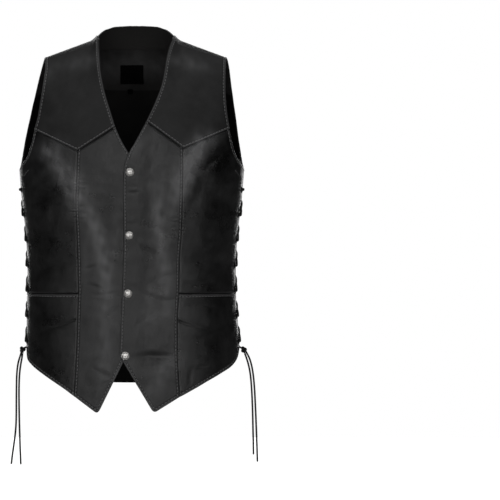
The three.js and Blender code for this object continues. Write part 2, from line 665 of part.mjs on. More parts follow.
function makeBack() {
  const sides = [1, -1].map(backEdges);
  const seams = sides.map(({ at }) => spaced(backSeam.map(at), cells.backRows));
  const armholes = sides.map(({ at, shoulderAt }) => spaced(
    [shoulderAt(1), backSpotOverRidge(at), ...backArmhole.map(at)], cells.armholeRows));
  const shoulders = sides.map(({ shoulderAt }) => Array.from({ length: cells.shoulder + 1 },
    (_, k) => shoulderAt(1 - k / cells.shoulder)));
  const napes = sides.map(({ at, shoulderAt }) => spaced(
    [shoulderAt(0), ...napeEdge.map(at)], cells.nape / 2));
  const top = joined(shoulders[0], napes[0], [...napes[1]].reverse(), [...shoulders[1]].reverse());
  const columns = top.length - 1;
  const hemEnds = seams.map((line) => line[line.length - 1]);
  const hemHeight = (share) => backHemHeight.middle
    + (backHemHeight.seam - backHemHeight.middle) * (2 * share - 1) ** 2;
  const hem = levelLine(hemEnds[0][0], hemEnds[1][0], columns, hemHeight);
  [hem[0], hem[columns]] = hemEnds;
  const edges = armholes.map((line, index) => joined(line, seams[index]));
  const net = netBetween(top, hem, edges[0], edges[1]);
  place('back_center', wallGeometry('back', net, plain, leather), 'back');

  // Facing and lining are made from the back's own places, moved in
  const sunk = () => -liningDepth;
  const facingLastRow = cells.armholeRows / 2;
  const facing = net.slice(facingFirstRow, facingLastRow + 1);
  place('back_facing', wallGeometry('back', facing, sunk, liningWall), 'facing');
  const lining = net.slice(facingLastRow);
  place('back_lining', wallGeometry('back', lining, sunk, liningWall), 'lining');

  sides.forEach(({ at, lacedAt }, index) => {
    const hand = index === 0 ? 1 : -1;
    const wearer = hand < 0 ? 'right' : 'left';
    const seam = seams[index];
    const laced = spaced(lacedHeights.map(lacedAt), cells.backRows);
    const underarm = spaced([lacedAt(lacedTop), at({ x: 191.5, z: -198 }), seam[0]], cells.backSide);
    const corner = backHemCorner.map(at).reverse();
    const low = spaced([lacedAt(lacedBottom), ...corner], cells.backSide);
    low[cells.backSide] = seam[cells.backRows];
    const sideNet = netBetween(underarm, low, laced, seam);
    const wall = wallGeometry('back', sideNet, plain, leather);
    place(`back_side_${wearer}`, withHoles(wall, 'back', hand, eyeletRowList), 'side');
    const inner = sideNet.map((line) => line.slice(liningFromLaces));
    place(`lining_side_${wearer}`, wallGeometry('back', inner, sunk, liningWall), 'lining');
  });
}

// A small piece of leather sewn inside the back, at a place seen from the front
function makePatch(name, { x, z, width, height }) {
  const across = Array.from({ length: 5 }, (_, k) => x + width * (k / 4 - 0.5));
  const net = [z + height / 2, z, z - height / 2]
    .map((level) => across.map((column) => spot('back', column, level)));
  place(name, wallGeometry('back', net, () => -patchDepth, patchWall), 'patch');
}

// The armhole line crosses the ridge just outside the shoulder tip
function backSpotOverRidge(at) {
  const [angle] = at({ x: shoulderSeam.tip + tipSpread, z: ridgeAt(shoulderSeam.tip) });
  return [angle, levelOf(ridgeSink)];
}

// Turns a shape that stands on the XZ plane so that it stands on the wall
function stood(geometry, point, normal) {
  const turn = new THREE.Quaternion().setFromUnitVectors(new THREE.Vector3(0, 1, 0), normal);
  return geometry.applyQuaternion(turn).translate(point.x, point.y, point.z);
}

function makeSnaps() {
  const profile = snapProfile.map(({ across, up }) => new THREE.Vector2(across, up));
  snapPlaces.forEach(({ x, z }, index) => {
    const where = spot('front', x, z);
    const point = wallPoint('front', where, overlapRise + snap.lift);
    const cap = stood(new THREE.LatheGeometry(profile, snap.sides), point, normalAt('front', where));
    place(`snap_cap_${index + 1}`, cap, 'metal');
  });
}

function makeEyelets() {
  const { bore, rim, chamfer, lift, height, sides } = eyelet;
  const profile = [[bore, 0], [rim, 0], [rim - chamfer, height], [bore, height], [bore, 0]]
    .map(([across, up]) => new THREE.Vector2(across, up));
  for (const side of ['front', 'back']) {
    for (const hand of hands) {
      for (const row of eyeletRowList) {
        const { point, normal } = eyeletFrame(side, hand, row, lift);
        const ring = stood(new THREE.LatheGeometry(profile, sides), point, normal);
        const wearer = hand < 0 ? 'right' : 'left';
        place(`eyelet_${side}_${wearer}_${row + 1}`, ring, 'eyelet');
      }
    }
  }
}

// A tube along a smooth route: its rings stand at the route's points, or this far apart
function tubeAlong(route, radius, sides, spacing) {
  if (!spacing) route.getUtoTmapping = (share) => share;
  const outline = Array.from({ length: sides }, (_, k) => {
    const turn = (2 * PI * k) / sides;
    return new THREE.Vector2(radius * cos(turn), radius * sin(turn));
  });
  return new THREE.ExtrudeGeometry(new THREE.Shape(outline), {
    steps: spacing ? round(route.getLength() / spacing) : route.points.length - 1,
    bevelEnabled: false,
    extrudePath: route,
  });
}

// A point on the laced side, this far in front of or behind the side line
function laceSpot(hand, fromSide, z, out) {
  const side = fromSide < 0 ? 'front' : 'back';
  const where = sideSpot(side, hand, max(probeTurn, abs(fromSide)), z);
  return formAt(side, where).addScaledVector(normalAt(side, where), out);
}

// One strand goes in through an eyelet, under its edge, across the gap and over the other edge
function strand(hand, firstFace, crossOut) {
  const points = [];
  let face = firstFace;
  for (const row of eyeletRowList) {
    const top = eyeletFirst - row * eyeletPitch;
    for (const { fromSide, share, out } of row === eyeletRows - 1 ? lastCrossing : crossing) {
      const lift = fromSide === 0 ? out + crossOut : out;
      points.push(laceSpot(hand, face * fromSide, top - share * eyeletPitch, lift));
    }
    face = -face;
  }
  return points;
}

function lacingRoute(hand) {
  const bar = [-1, 0, 1].map((share) => laceSpot(hand, share * laceNearEye,
    eyeletFirst + topBar.rise, share === 0 ? topBar.middle : topBar.eye));
  const first = strand(hand, -1, lace.cross).reverse();
  return smoothRoute([...first, ...bar, ...strand(hand, 1, -lace.cross)]);
}

function laceEndRoute(name) {
  return smoothRoute(laceEnds[name].map((point) => new THREE.Vector3(...point)));
}

function smoothRoute(points) {
  return new THREE.CatmullRomCurve3(points, false, 'centripetal');
}

// A short length of lace that leaves the knot and faces the end of a route
function stubAt(route, share) {
  const away = route.getTangent(share).multiplyScalar(share === 0 ? -1 : 1);
  const middle = route.getPoint(share).addScaledVector(away, faceGap + knot.stub / 2);
  const stub = new THREE.CylinderGeometry(lace.radius, lace.radius, knot.stub, lace.sides);
  return stood(stub, middle, away);
}

// The knot: a lump with two turns of lace round it, and the four lengths that leave it
function makeSideLace(hand) {
  const wearer = hand < 0 ? 'right' : 'left';
  const lacing = lacingRoute(hand);
  const ends = ['outer', 'inner'].map((end) => `lace_end_${wearer}_${end}`);
  const z = eyeletFirst - (eyeletRows - 1) * eyeletPitch - knotDrop;
  const middle = laceSpot(hand, 0, z, knot.out);
  let solid = solidOf(new THREE.SphereGeometry(knot.radius, 8, 6).translate(...middle.toArray()));
  for (const tilt of knot.tilts) {
    const band = new THREE.TorusGeometry(knot.bandRadius, knot.bandWire, 4, 8);
    band.rotateX(PI / 2 + tilt);
    band.rotateZ(tilt);
    solid = solid.add(solidOf(band.translate(...middle.toArray())));
  }
  const stubs = [stubAt(lacing, 0), stubAt(lacing, 1)];
  for (const name of ends) stubs.push(stubAt(laceEndRoute(name), 0));
  for (const stub of stubs) solid = solid.add(solidOf(stub));
  place(`lacing_${wearer}`, tubeAlong(lacing, lace.radius, lace.sides), 'lace');
  place(`knot_${wearer}`, geometryOf(solid), 'lace');
  for (const name of ends) {
    place(name, tubeAlong(laceEndRoute(name), lace.radius, laceEndSides, laceEndSpacing), 'lace');
  }
}

for (const hand of hands) makeFront(hand);
makeBack();
makePatch('label_patch', labelPatch);
makePatch('size_tab', sizeTab);
makeSnaps();
makeEyelets();
for (const hand of hands) makeSideLace(hand);

export default vest;
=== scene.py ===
"""A black leather vest, filled out with no wearer: V neck, pointed yokes, four snaps and laced sides.

The front faces -Y and the wearer's left is at +X. Tables and shapes are in millimetres, and every mesh is
in metres, in the frame's own place.
"""

import functools
import math

import bmesh
import bpy
import numpy as np
from bpy.props import FloatProperty, FloatVectorProperty, PointerProperty
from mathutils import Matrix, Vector, kdtree


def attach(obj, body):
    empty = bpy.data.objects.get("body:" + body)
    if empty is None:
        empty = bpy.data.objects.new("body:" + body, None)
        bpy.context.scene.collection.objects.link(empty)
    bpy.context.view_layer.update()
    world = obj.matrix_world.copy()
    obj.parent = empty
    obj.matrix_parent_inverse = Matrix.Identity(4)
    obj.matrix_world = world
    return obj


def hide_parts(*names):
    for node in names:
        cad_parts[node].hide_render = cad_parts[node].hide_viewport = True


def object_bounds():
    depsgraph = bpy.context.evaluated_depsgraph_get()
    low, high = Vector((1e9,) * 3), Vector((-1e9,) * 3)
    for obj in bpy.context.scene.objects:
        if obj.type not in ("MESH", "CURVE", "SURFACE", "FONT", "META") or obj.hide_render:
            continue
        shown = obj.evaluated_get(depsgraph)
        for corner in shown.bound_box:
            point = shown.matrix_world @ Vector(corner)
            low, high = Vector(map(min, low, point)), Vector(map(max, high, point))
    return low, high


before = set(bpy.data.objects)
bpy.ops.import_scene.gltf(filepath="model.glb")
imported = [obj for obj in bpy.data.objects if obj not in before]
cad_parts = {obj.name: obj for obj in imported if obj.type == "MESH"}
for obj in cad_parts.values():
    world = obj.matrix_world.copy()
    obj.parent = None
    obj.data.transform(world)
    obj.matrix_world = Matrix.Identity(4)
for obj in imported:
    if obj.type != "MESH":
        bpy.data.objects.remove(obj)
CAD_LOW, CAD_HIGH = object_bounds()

bl_info = {
    "name": "Laced leather vest",
    "version": (1, 0, 0),
    "blender": (4, 5, 0),
    "location": "View3D > Sidebar > Vest",
    "description": "Dresses the packed leather vest: shells, stitching, eyelets, laces, snaps and stage",
    "category": "Object",
}

MM = 0.001

# Walls and places shared with the solids, in millimetres
LEATHER = 2.0
YOKE_RISE = 0.9
LINING_WALL = 1.2
LINING_DEPTH = LEATHER + 0.6
FACING_FROM, FACING_TO = 2, 5
LINING_FROM_LACES = 2
PATCH_WALL = 1.0
PATCH_DEPTH = LINING_DEPTH + LINING_WALL + 0.8
LABEL_PATCH = {"x": -1.5, "z": -43, "width": 41, "height": 33}
SIZE_TAB = {"x": -5, "z": -73, "width": 9, "height": 8}
PATCH_CELL = (1.5, 1.5)
LEAST_SHEET = 0.01

RIDGE_TOP = 43
RIDGE_FALL = 0.37
NAPE_RISE, NAPE_FROM, NAPE_TO, NAPE_FADE = 26.5, 36, 80, 130
ROLL_DROP, ROLL_POWER, ROLL_REACH = 220, 0.6, 90

# Rings of the body: height, half width, depth in front and behind, how square each is, middle
RING_COLUMNS = ("z", "half_width", "front", "back", "front_power", "back_power", "centre")
RINGS = np.array([
    (60, 198, 110, 112, 2.3, 2.6, 6), (-20, 198, 111, 114, 2.3, 2.6, 6),
    (-60, 199, 112, 116, 2.3, 2.6, 3.4), (-110, 199, 114, 117, 2.3, 2.6, 1),
    (-160, 196, 116, 117, 2.3, 2.5, -0.9), (-212, 193.5, 118, 114, 2.3, 2.4, -0.9),
    (-267, 189, 116, 108, 2.3, 2.3, -0.9), (-321, 182.5, 112, 101, 2.3, 2.3, -0.9),
    (-376, 180, 109, 97, 2.3, 2.3, -1.2), (-432, 180.5, 108, 97, 2.3, 2.3, -1.2),
    (-500, 183.5, 110, 101, 2.3, 2.3, 1), (-560, 184, 112, 105, 2.3, 2.3, 1),
    (-660, 184, 113, 109, 2.3, 2.3, 1),
], float)

# Large soft folds, as on the solids: x, z, turn from level, half length, half width, depth
FOLDS = {
    "front": [
        (42, -527, 2, 34, 13, 2.6), (44, -556, 8, 34, 15, -2.0), (-52, -300, 84, 90, 17, 2.4),
        (50, -330, 97, 105, 18, 2.2), (-135, -236, 40, 46, 16, 2.6), (138, -246, -38, 50, 16, 2.4),
        (-128, -372, 14, 42, 15, 2.2), (132, -368, -12, 44, 15, 2.2), (-62, -520, 70, 60, 17, 2.2),
    ],
    "back": [
        (112, -352, 8, 34, 13, 3.0), (116, -386, 3, 30, 12, 2.6), (110, -420, -5, 36, 14, 2.8),
        (-114, -358, -7, 36, 13, 3.0), (-112, -394, -2, 30, 12, 2.6), (-116, -430, 6, 34, 14, 2.8),
        (134, -178, 12, 40, 14, 2.4), (-136, -182, -12, 42, 14, 2.4), (0, -300, 90, 130, 26, 3.0),
    ],
}

# Creases: x, z, turn from level, half length, half width, depth of the trough
CREASES = {
    "front": [
        (-87, -224, 3, 8, 1.7, 0.34), (-85, -232, -3, 10, 1.9, 0.49), (-87, -240, 5, 8, 1.7, 0.38),
        (-88, -270, 6, 9, 2, 0.38), (-85, -281, -4, 11, 2.2, 0.45), (-88, -292, 8, 8, 1.9, 0.34),
        (-112, -226, -64, 26, 6, 0.78), (-104, -262, -70, 30, 7, 0.72),
        (-118, -192, -35, 24, 6, 0.6), (-146, -214, 48, 30, 7, 0.9), (-134, -286, 76, 38, 8, 0.78),
        (-71, -375, 16, 12, 3, 0.5), (-63, -407, -18, 16, 3.6, 0.5), (-45, -421, 4, 26, 3.4, 0.44),
        (-34, -452, 40, 22, 5, 0.61), (-58, -466, 74, 34, 7, 0.66), (-64, -536, 30, 20, 4.6, 0.66),
        (-52, -556, -24, 18, 4, 0.61), (-44, -572, 20, 14, 3.4, 0.44), (-68, -590, 52, 18, 4.2, 0.5),
        (-46, -345, 80, 44, 9, 0.66), (-30, -262, 66, 40, 9, 0.55), (-140, -480, 24, 26, 6, 0.6),
        (2, -246, 3, 9, 2.2, 0.68), (3, -239, -6, 8, 2, -0.38), (0, -298, 14, 10, 2.4, 0.44),
        (74, -290, 3, 8, 1.8, 0.41), (75, -297, -3, 9, 1.9, 0.38), (74, -305, 4, 7, 1.7, 0.38),
        (76, -313, -3, 8, 1.8, 0.32), (48, -262, 88, 44, 8, 0.55),
        (36, -352, -24, 26, 5.6, 0.55), (52, -392, 20, 30, 6, 0.61), (34, -424, -16, 26, 4.6, 0.55),
        (24, -461, 34, 22, 5, 0.5), (58, -432, 8, 22, 4, 0.44), (38, -526, -2, 30, 4.6, 1.7),
        (66, -524, 10, 14, 3.2, 0.3), (48, -548, 14, 24, 5, 0.5),
        (118, -546, 2, 14, 3.4, 0.72), (100, -562, 84, 16, 4, 0.6), (128, -202, 38, 30, 6, 0.84),
        (146, -188, 42, 24, 4.6, 0.66), (112, -252, 66, 40, 8, 0.84), (136, -300, 76, 40, 8, 0.72),
        (110, -404, -4, 22, 4.2, 0.54), (126, -440, -12, 26, 5, 0.54), (134, -488, 22, 30, 6, 0.6),
        (30, -166, 52, 20, 4, 0.39), (40, -190, 64, 30, 7, 0.5), (-118, -100, -72, 34, 9, 0.54),
        (-88, -66, -56, 30, 9, 0.5), (112, -78, 60, 34, 9, 0.54), (86, -48, 48, 26, 8, 0.44),
    ],
    "back": [
        (122, -350, 4, 22, 3.6, 1.9), (118, -359, -6, 19, 3.0, -0.9), (120, -370, -12, 20, 3.0, 1.3),
        (116, -384, -14, 20, 3.2, 1.4), (112, -402, -4, 24, 3.6, 1.2), (116, -418, 6, 20, 3.4, 1.1),
        (-118, -346, -5, 22, 3.4, 1.7), (-120, -360, 8, 19, 3.0, 1.2), (-117, -376, 10, 21, 3.2, 1.5),
        (-114, -394, 2, 22, 3.4, 1.2), (-118, -412, -8, 20, 3.2, 1.1), (-110, -440, -4, 24, 4.0, 1.0),
        (150, -170, 4, 24, 2.6, 1.0), (146, -182, 9, 26, 2.8, 1.1), (140, -194, 12, 22, 3.0, 0.8),
        (-148, -168, -5, 24, 2.6, 1.0), (-146, -180, -10, 26, 2.8, 1.1), (-138, -196, -12, 22, 3.0, 0.8),
        (60, -458, 5, 46, 6.0, 1.1), (-56, -470, -4, 50, 6.0, 1.1), (8, -492, 2, 54, 7.0, 1.2),
        (-20, -520, -3, 40, 5.6, 0.9), (62, -516, 8, 34, 5.0, 0.8), (18, -96, 4, 60, 9.0, 0.9),
        (-34, -250, 78, 60, 12.0, 1.2), (48, -240, 102, 60, 12.0, 1.2), (0, -410, 6, 44, 7.0, 0.9),
    ],
}

# Painted sheen: patches of the leather made lighter where the light's sheen falls: x, z, turn from level,
# half length, half width, strength
PAINTED_SHEEN_PATCHES = {
    "front": [
        (-118, -212, -59, 46, 15, 0.95), (-104, -250, -68, 30, 9, 0.45), (-142, -174, 20, 24, 14, 0.5),
        (-88, -226, -75, 26, 9, 0.55), (-72, -288, -66, 52, 13, 0.60), (-50, -360, -80, 62, 12, 0.62),
        (-47, -430, 86, 50, 11, 0.34), (-46, -520, 84, 60, 12, 0.42), (-22, -560, 50, 20, 9, 0.26),
        (-80, -360, 88, 44, 7, 0.20), (-30, -330, 84, 60, 8, 0.16),
        (98, -206, 70, 52, 15, 1.15), (110, -176, 56, 28, 13, 0.55), (132, -160, 30, 24, 10, 0.55),
        (74, -236, 84, 46, 10, 0.42), (50, -330, 94, 84, 12, 0.62), (44, -268, 78, 40, 9, 0.36),
        (26, -440, 80, 44, 13, 0.22), (50, -455, 20, 26, 14, 0.26), (62, -400, 90, 40, 9, 0.20),
        (52, -560, 60, 44, 14, 0.42), (12, -166, 48, 22, 8, 0.34), (24, -235, 20, 15, 8, 0.22),
        (-88, -24, 12, 36, 11, 0.26), (96, -24, -14, 42, 11, 0.30), (-140, -40, 60, 20, 9, 0.16),
    ],
    "back": [
        (0, -300, 90, 130, 44, 0.10), (118, -345, 4, 24, 5, 0.25), (-116, -352, -5, 24, 5, 0.25),
        (70, -150, 60, 60, 30, 0.18), (-70, -150, -60, 60, 30, 0.18), (0, -30, 2, 110, 20, 0.25),
    ],
}

# Outlines of the fronts, from the top down: (x, z) for the wearer's right, then the left
SHOULDER = {"neck": 64.5, "tip": 156, "neck_drop": 9, "tip_drop": 3.4, "spread": 1.5, "sink": 0.2}
NECK_EDGE = {
    -1: [(-55, -25.8), (-47.5, -68.8), (-37.8, -101.5), (-28.2, -132.4)],
    1: [(59.3, -18.9), (51.3, -61), (39, -93.9), (25.3, -123)],
}
CLOSING_EDGE = {
    -1: [(-28.2, -132.4), (-17.2, -156.5), (-5.2, -177.2), (3.5, -196), (7.4, -225), (7.4, -345),
         (5, -420), (1.4, -505)],
    1: [(25.3, -123), (11.5, -148.8), (-4.3, -177.2), (-11, -194), (-13.6, -215), (-13.8, -345),
        (-16.3, -420), (-19.8, -509), (-19.8, -528)],
}
PRINCESS_SEAM = {
    -1: [(-92.9, -173.7), (-95.5, -233.9), (-96.3, -276.9), (-93.7, -345.7), (-92, -420.5),
         (-93.7, -466), (-96.7, -545.2), (-100, -595.3)],
    1: [(88.5, -169.4), (87.7, -259.7), (86, -311.3), (83.4, -345.7), (81.7, -420.5),
        (79.1, -466), (79.1, -517.7), (82.6, -596.8)],
}
FRONT_ARMHOLE = {
    -1: [(-150.3, -39.6), (-156, -80), (-162.5, -118.7), (-167.9, -138.5)],
    1: [(161, -39.6), (161.7, -91.2), (164.6, -116), (167.9, -136.5)],
}
FRONT_UNDERARM = {
    -1: [(-167.9, -138.5), (-174.9, -170.3), (-182.5, -188)],
    1: [(167.9, -136.5), (175.4, -172), (183, -190)],
}
FRONT_HEM = {
    -1: [(-181.5, -531), (-173.7, -543), (-158, -555.6), (-137.6, -569.3), (-117, -583), (-100, -595.3)],
    1: [(182.3, -530), (174.4, -543), (156.5, -555.6), (132.4, -569.3), (108.4, -583), (82.6, -596.8)],
}
FRONT_POINT = {-1: [(-58.5, -626), (1.4, -505)], 1: [(37.8, -624.4), (-19.8, -528)]}
POCKET_HEIGHT = -420.5
TIP_ROUND = 7.5

# Outlines of the back for +X, from the top down: distance from the middle, height
NAPE_EDGE = [(66, 22.4), (62.8, 25.8), (59, 29.2), (54, 32.7), (44, 36.3), (27, 39.2), (11, 40.1),
             (0, 40.1)]
BACK_ARMHOLE = [(162, -32), (167, -58), (173, -90), (178, -116), (182.5, -143), (187, -168),
                (189.5, -184)]
BACK_SEAM = [(189.5, -184), (176, -238), (162, -286), (150, -334), (143, -396), (138.5, -495),
             (138, -569)]
BACK_HEM_HEIGHT = {"middle": -579, "seam": -569}
BACK_HEM_CORNER = [(167, -546), (152, -561), (138, -569)]

# Laced sides
GAP_HALF = 9
LACED_TOP, LACED_BOTTOM = -208, -514
LACED_HEIGHTS = (LACED_TOP, -280, -350, POCKET_HEIGHT, -470, LACED_BOTTOM)
EYELET_ROWS = 7
EYELET_FIRST, EYELET_PITCH, EYELET_INSET = -243, 43.5, 9.5
EYELET_HOLE, EYELET_BORE, EYELET_WALL, EYELET_DEPTH = 3.2, 2.5, 0.35, 2.4
EYELET_SIDES, EYELET_LIFT = 28, 0.15
HOLE_SIDES, HOLE_REACH = 20, 7
LACE_RADIUS, LACE_SIDES = 1.6, 12
LACE_EYE = GAP_HALF + EYELET_INSET
LACE_NEAR_EYE = LACE_EYE - 4
LACE_CROSS = 2
# Each crossing: distance from the side line, share of the way to the next row, height over the leather
CROSSING = [(LACE_EYE, 0, 2.2), (LACE_EYE, 0, -3.4), (LACE_NEAR_EYE, 0.08, -5.4), (GAP_HALF, 0.26, -4.6),
            (0, 0.5, -1.6), (-GAP_HALF, 0.74, 0.9), (-LACE_NEAR_EYE, 0.92, 2.3)]
LAST_CROSSING = [(LACE_EYE, 0, 2.2), (LACE_EYE, 0, -3.4), (LACE_NEAR_EYE, 0.04, -5.4),
                 (GAP_HALF, 0.14, -4.6), (3.4, 0.22, -1.4), (2.2, 0.25, 1.4)]
TOP_BAR = {"rise": 1.5, "eye": 2.3, "middle": 0.6}
KNOT_DROP, KNOT_OUT = 14.5, 7
KNOT_SIZE, KNOT_DEPTH, KNOT_RADIUS, KNOT_GAP, KNOT_LEAD = 1.42, 1.15, 1.55, 0.25, 3
KNOT_STEPS, KNOT_SIDES = 120, 10

# Snaps, and where the wearer's left front stands out over the right one
SNAP_LIFT, SNAP_SIDES = 0.4, 48
SNAP_PLACES = [(-2.9, -210.7), (-4.3, -319), (-6.2, -419.3), (-11, -526)]
SNAP_DOME = {"radius": 6.55, "foot": 0.55, "rise": 2.05, "top": 2.6}
SNAP_ROLL = {"middle": 6.45, "radius": 0.5, "inside": 6.3, "dip": 0.86}
SNAP_BEATEN = {"size": 3.4, "depth": 0.11, "reach": 5.9, "above": 0.9}
OVERLAP_WIDTH, OVERLAP_RISE, OVERLAP_FADE, CLOSING_START = 21, LEATHER + 0.8, 26, -194

# The pale floor
FLOOR_RADIUS, FLOOR_SIDES = 3.2, 96

# Free lace ends, from the knot down, in metres
LACE_ENDS = {
    "lace_end_right_outer": [
        (-0.1919, -0.0029, -0.5246), (-0.1939, -0.004, -0.531), (-0.1966, -0.0047, -0.54),
        (-0.1984, -0.0053, -0.551), (-0.1994, -0.0056, -0.564), (-0.1998, -0.0058, -0.578),
        (-0.2, -0.006, -0.594), (-0.2001, -0.0061, -0.612), (-0.2002, -0.0062, -0.63),
        (-0.2006, -0.0063, -0.646), (-0.2016, -0.0064, -0.66), (-0.2032, -0.0065, -0.674),
        (-0.2052, -0.0065, -0.688), (-0.2072, -0.0065, -0.702), (-0.2088, -0.0064, -0.716),
    ],
    "lace_end_right_inner": [
        (-0.1896, 0.0021, -0.525), (-0.1906, 0.002, -0.533), (-0.1924, 0.0017, -0.543),
        (-0.194, 0.0014, -0.554), (-0.195, 0.0011, -0.566), (-0.1955, 0.0009, -0.579),
        (-0.1957, 0.0007, -0.593), (-0.1956, 0.0005, -0.608), (-0.1954, 0.0003, -0.624),
        (-0.1951, 0.0002, -0.64), (-0.1947, 0, -0.656), (-0.1942, -0.0002, -0.672),
        (-0.1937, -0.0004, -0.688), (-0.1931, -0.0006, -0.703), (-0.1926, -0.0008, -0.717),
    ],
    "lace_end_left_outer": [
        (0.1966, -0.0029, -0.523), (0.2002, -0.004, -0.5296), (0.2036, -0.0049, -0.538),
        (0.2064, -0.0054, -0.549), (0.2084, -0.0057, -0.561), (0.2098, -0.0059, -0.574),
        (0.2109, -0.006, -0.588), (0.2117, -0.0061, -0.603), (0.2124, -0.0062, -0.618),
        (0.2131, -0.0063, -0.634), (0.2137, -0.0064, -0.65), (0.2143, -0.0065, -0.666),
        (0.2149, -0.0065, -0.682), (0.2154, -0.0065, -0.698), (0.2158, -0.0064, -0.712),
    ],
    "lace_end_left_inner": [
        (0.1938, 0.0021, -0.5248), (0.1966, 0.002, -0.5324), (0.1996, 0.0017, -0.542),
        (0.2022, 0.0014, -0.553), (0.204, 0.0011, -0.565), (0.2052, 0.0009, -0.578),
        (0.2061, 0.0007, -0.592), (0.2068, 0.0005, -0.606), (0.2073, 0.0003, -0.62),
        (0.2077, 0.0002, -0.634), (0.208, 0, -0.648), (0.2083, -0.0001, -0.662),
        (0.2086, -0.0003, -0.675), (0.2088, -0.0004, -0.688), (0.209, -0.0005, -0.7),
    ],
}

# Counts of the cells along each shared seam, as on the solids
CELLS = {"yoke_outer": 7, "yoke_inner": 5, "yoke_rows": 7, "princess_upper": 12, "princess_lower": 8,
         "armhole": 4, "point": 2, "back_rows": 18, "armhole_rows": 10, "shoulder": 4, "nape": 8,
         "back_side": 6}
DENSE = 24
CURVE_STEPS = 60
HANDS = {"right": -1, "left": 1}
RADIAN_LENGTH = 130

# Soft lights: name, group, degrees round from the front and up, distance, width, height, share of power
SOFTBOXES = [
    ("Front_softbox", "front", 0, 8, 5.5, 2.2, 2.4, 0.85),
    ("Front_left_softbox", "front", -21, 8, 5.5, 1.2, 3.0, 0.85),
    ("Front_right_softbox", "front", 19, 8, 5.5, 1.2, 3.0, 0.85),
    ("Chest_left_softbox", "front", -36, 32, 5.0, 0.9, 0.7, 0.22),
    ("Chest_right_softbox", "front", 34, 32, 5.0, 0.9, 0.7, 0.22),
    ("Back_softbox", "back", 180, 12, 5.5, 2.2, 2.4, 0.8),
    ("Back_left_softbox", "back", 160, 12, 5.5, 1.3, 3.0, 0.7),
    ("Back_right_softbox", "back", 200, 12, 5.5, 1.3, 3.0, 0.7),
    ("Top_softbox", "top", 0, 84, 2.8, 2.0, 2.0, 1.0),
]

# Which leather pieces each group of stitching is sewn on
STITCHED = {
    "front_stitching": ["yoke_right", "yoke_left", "front_center_right", "front_center_left",
                        "front_side_upper_right", "front_side_upper_left", "front_side_lower_right",
                        "front_side_lower_left"],
    "back_stitching": ["back_center", "back_side_right", "back_side_left"],
}

# What each piece was cut to: width, length and area, in metres
CUTS = {
    "yoke": (0.17, 0.2, 0.0215), "front_center": (0.17, 0.48, 0.0445),
    "front_side_upper": (0.16, 0.32, 0.037), "front_side_lower": (0.17, 0.18, 0.02),
    "back_center": (0.46, 0.68, 0.218), "back_side": (0.11, 0.4, 0.024),
    "back_facing": (0.45, 0.09, 0.024), "back_lining": (0.42, 0.52, 0.173),
    "lining_side": (0.08, 0.4, 0.0163),
}


def smoothstep(low, high, value):
    t = np.clip((value - low) / (high - low), 0, 1)
    return t * t * (3 - 2 * t)


# The plain form of the body


def ring_at(z):
    """The ring's values at each height, run smoothly through the table."""
    z = np.asarray(z, float)
    heights = RINGS[:, 0]
    last = len(RINGS) - 2
    k = np.clip(np.searchsorted(-heights, -z, side="right") - 1, 0, last)
    a, b, c, d = (RINGS[np.clip(k + step, 0, last + 1)] for step in (-1, 0, 1, 2))
    t = np.clip((z - b[..., 0]) / (c[..., 0] - b[..., 0]), 0, 1)[..., None]
    slope_in, slope_out = (c - a) / 2, (d - b) / 2
    bend = 3 * (c - b) - 2 * slope_in - slope_out
    twist = 2 * (b - c) + slope_in + slope_out
    found = b + slope_in * t + bend * t ** 2 + twist * t ** 3
    return {name: found[..., index] for index, name in enumerate(RING_COLUMNS)}


def ridge_at(offset, drop=0.0):
    reach = np.abs(offset)
    nape = NAPE_RISE * (1 - smoothstep(NAPE_FROM, NAPE_TO, reach))
    return RIDGE_TOP - RIDGE_FALL * reach + nape * (1 - smoothstep(0, NAPE_FADE, drop))


def drop_at(offset, z):
    drop = np.maximum(0, ridge_at(offset) - z)
    for _ in range(40):
        drop = np.maximum(0, ridge_at(offset, drop) - z)
    return drop


def roll_at(drop):
    return (1 - (1 - np.minimum(drop, ROLL_DROP) / ROLL_DROP) ** 2) ** ROLL_POWER


def level_of(drop):
    return drop + ROLL_REACH * roll_at(drop)


DROP_STEPS = np.concatenate([np.linspace(0, 1, 40) ** 3 * 4, np.arange(4.25, 900, 0.25)])
LEVEL_STEPS = level_of(DROP_STEPS)


def drop_of(level):
    return np.interp(level, LEVEL_STEPS, DROP_STEPS)


def power_of(side, ring):
    return ring["front_power" if side == "front" else "back_power"]


def spot(side, x, z):
    """Where a point of the front or back view lies on the wall: angle round the body, level."""
    x, z = np.asarray(x, float), np.asarray(z, float)
    ring = ring_at(z)
    offset = x - ring["centre"]
    share = np.minimum(1, np.abs(offset) / ring["half_width"])
    turn = np.arccos(share ** (power_of(side, ring) / 2))
    return np.stack([np.where(offset >= 0, turn, math.pi - turn), level_of(drop_at(offset, z))], -1)


def side_spot(side, hand, from_side, z):
    z = np.asarray(z, float)
    ring = ring_at(z)
    power = power_of(side, ring)
    turn = np.arcsin((from_side / ring[side]) ** (power / 2))
    offset = ring["half_width"] * np.cos(turn) ** (2 / power)
    angle = turn if hand > 0 else math.pi - turn
    return np.stack([angle, level_of(drop_at(offset, z))], -1)


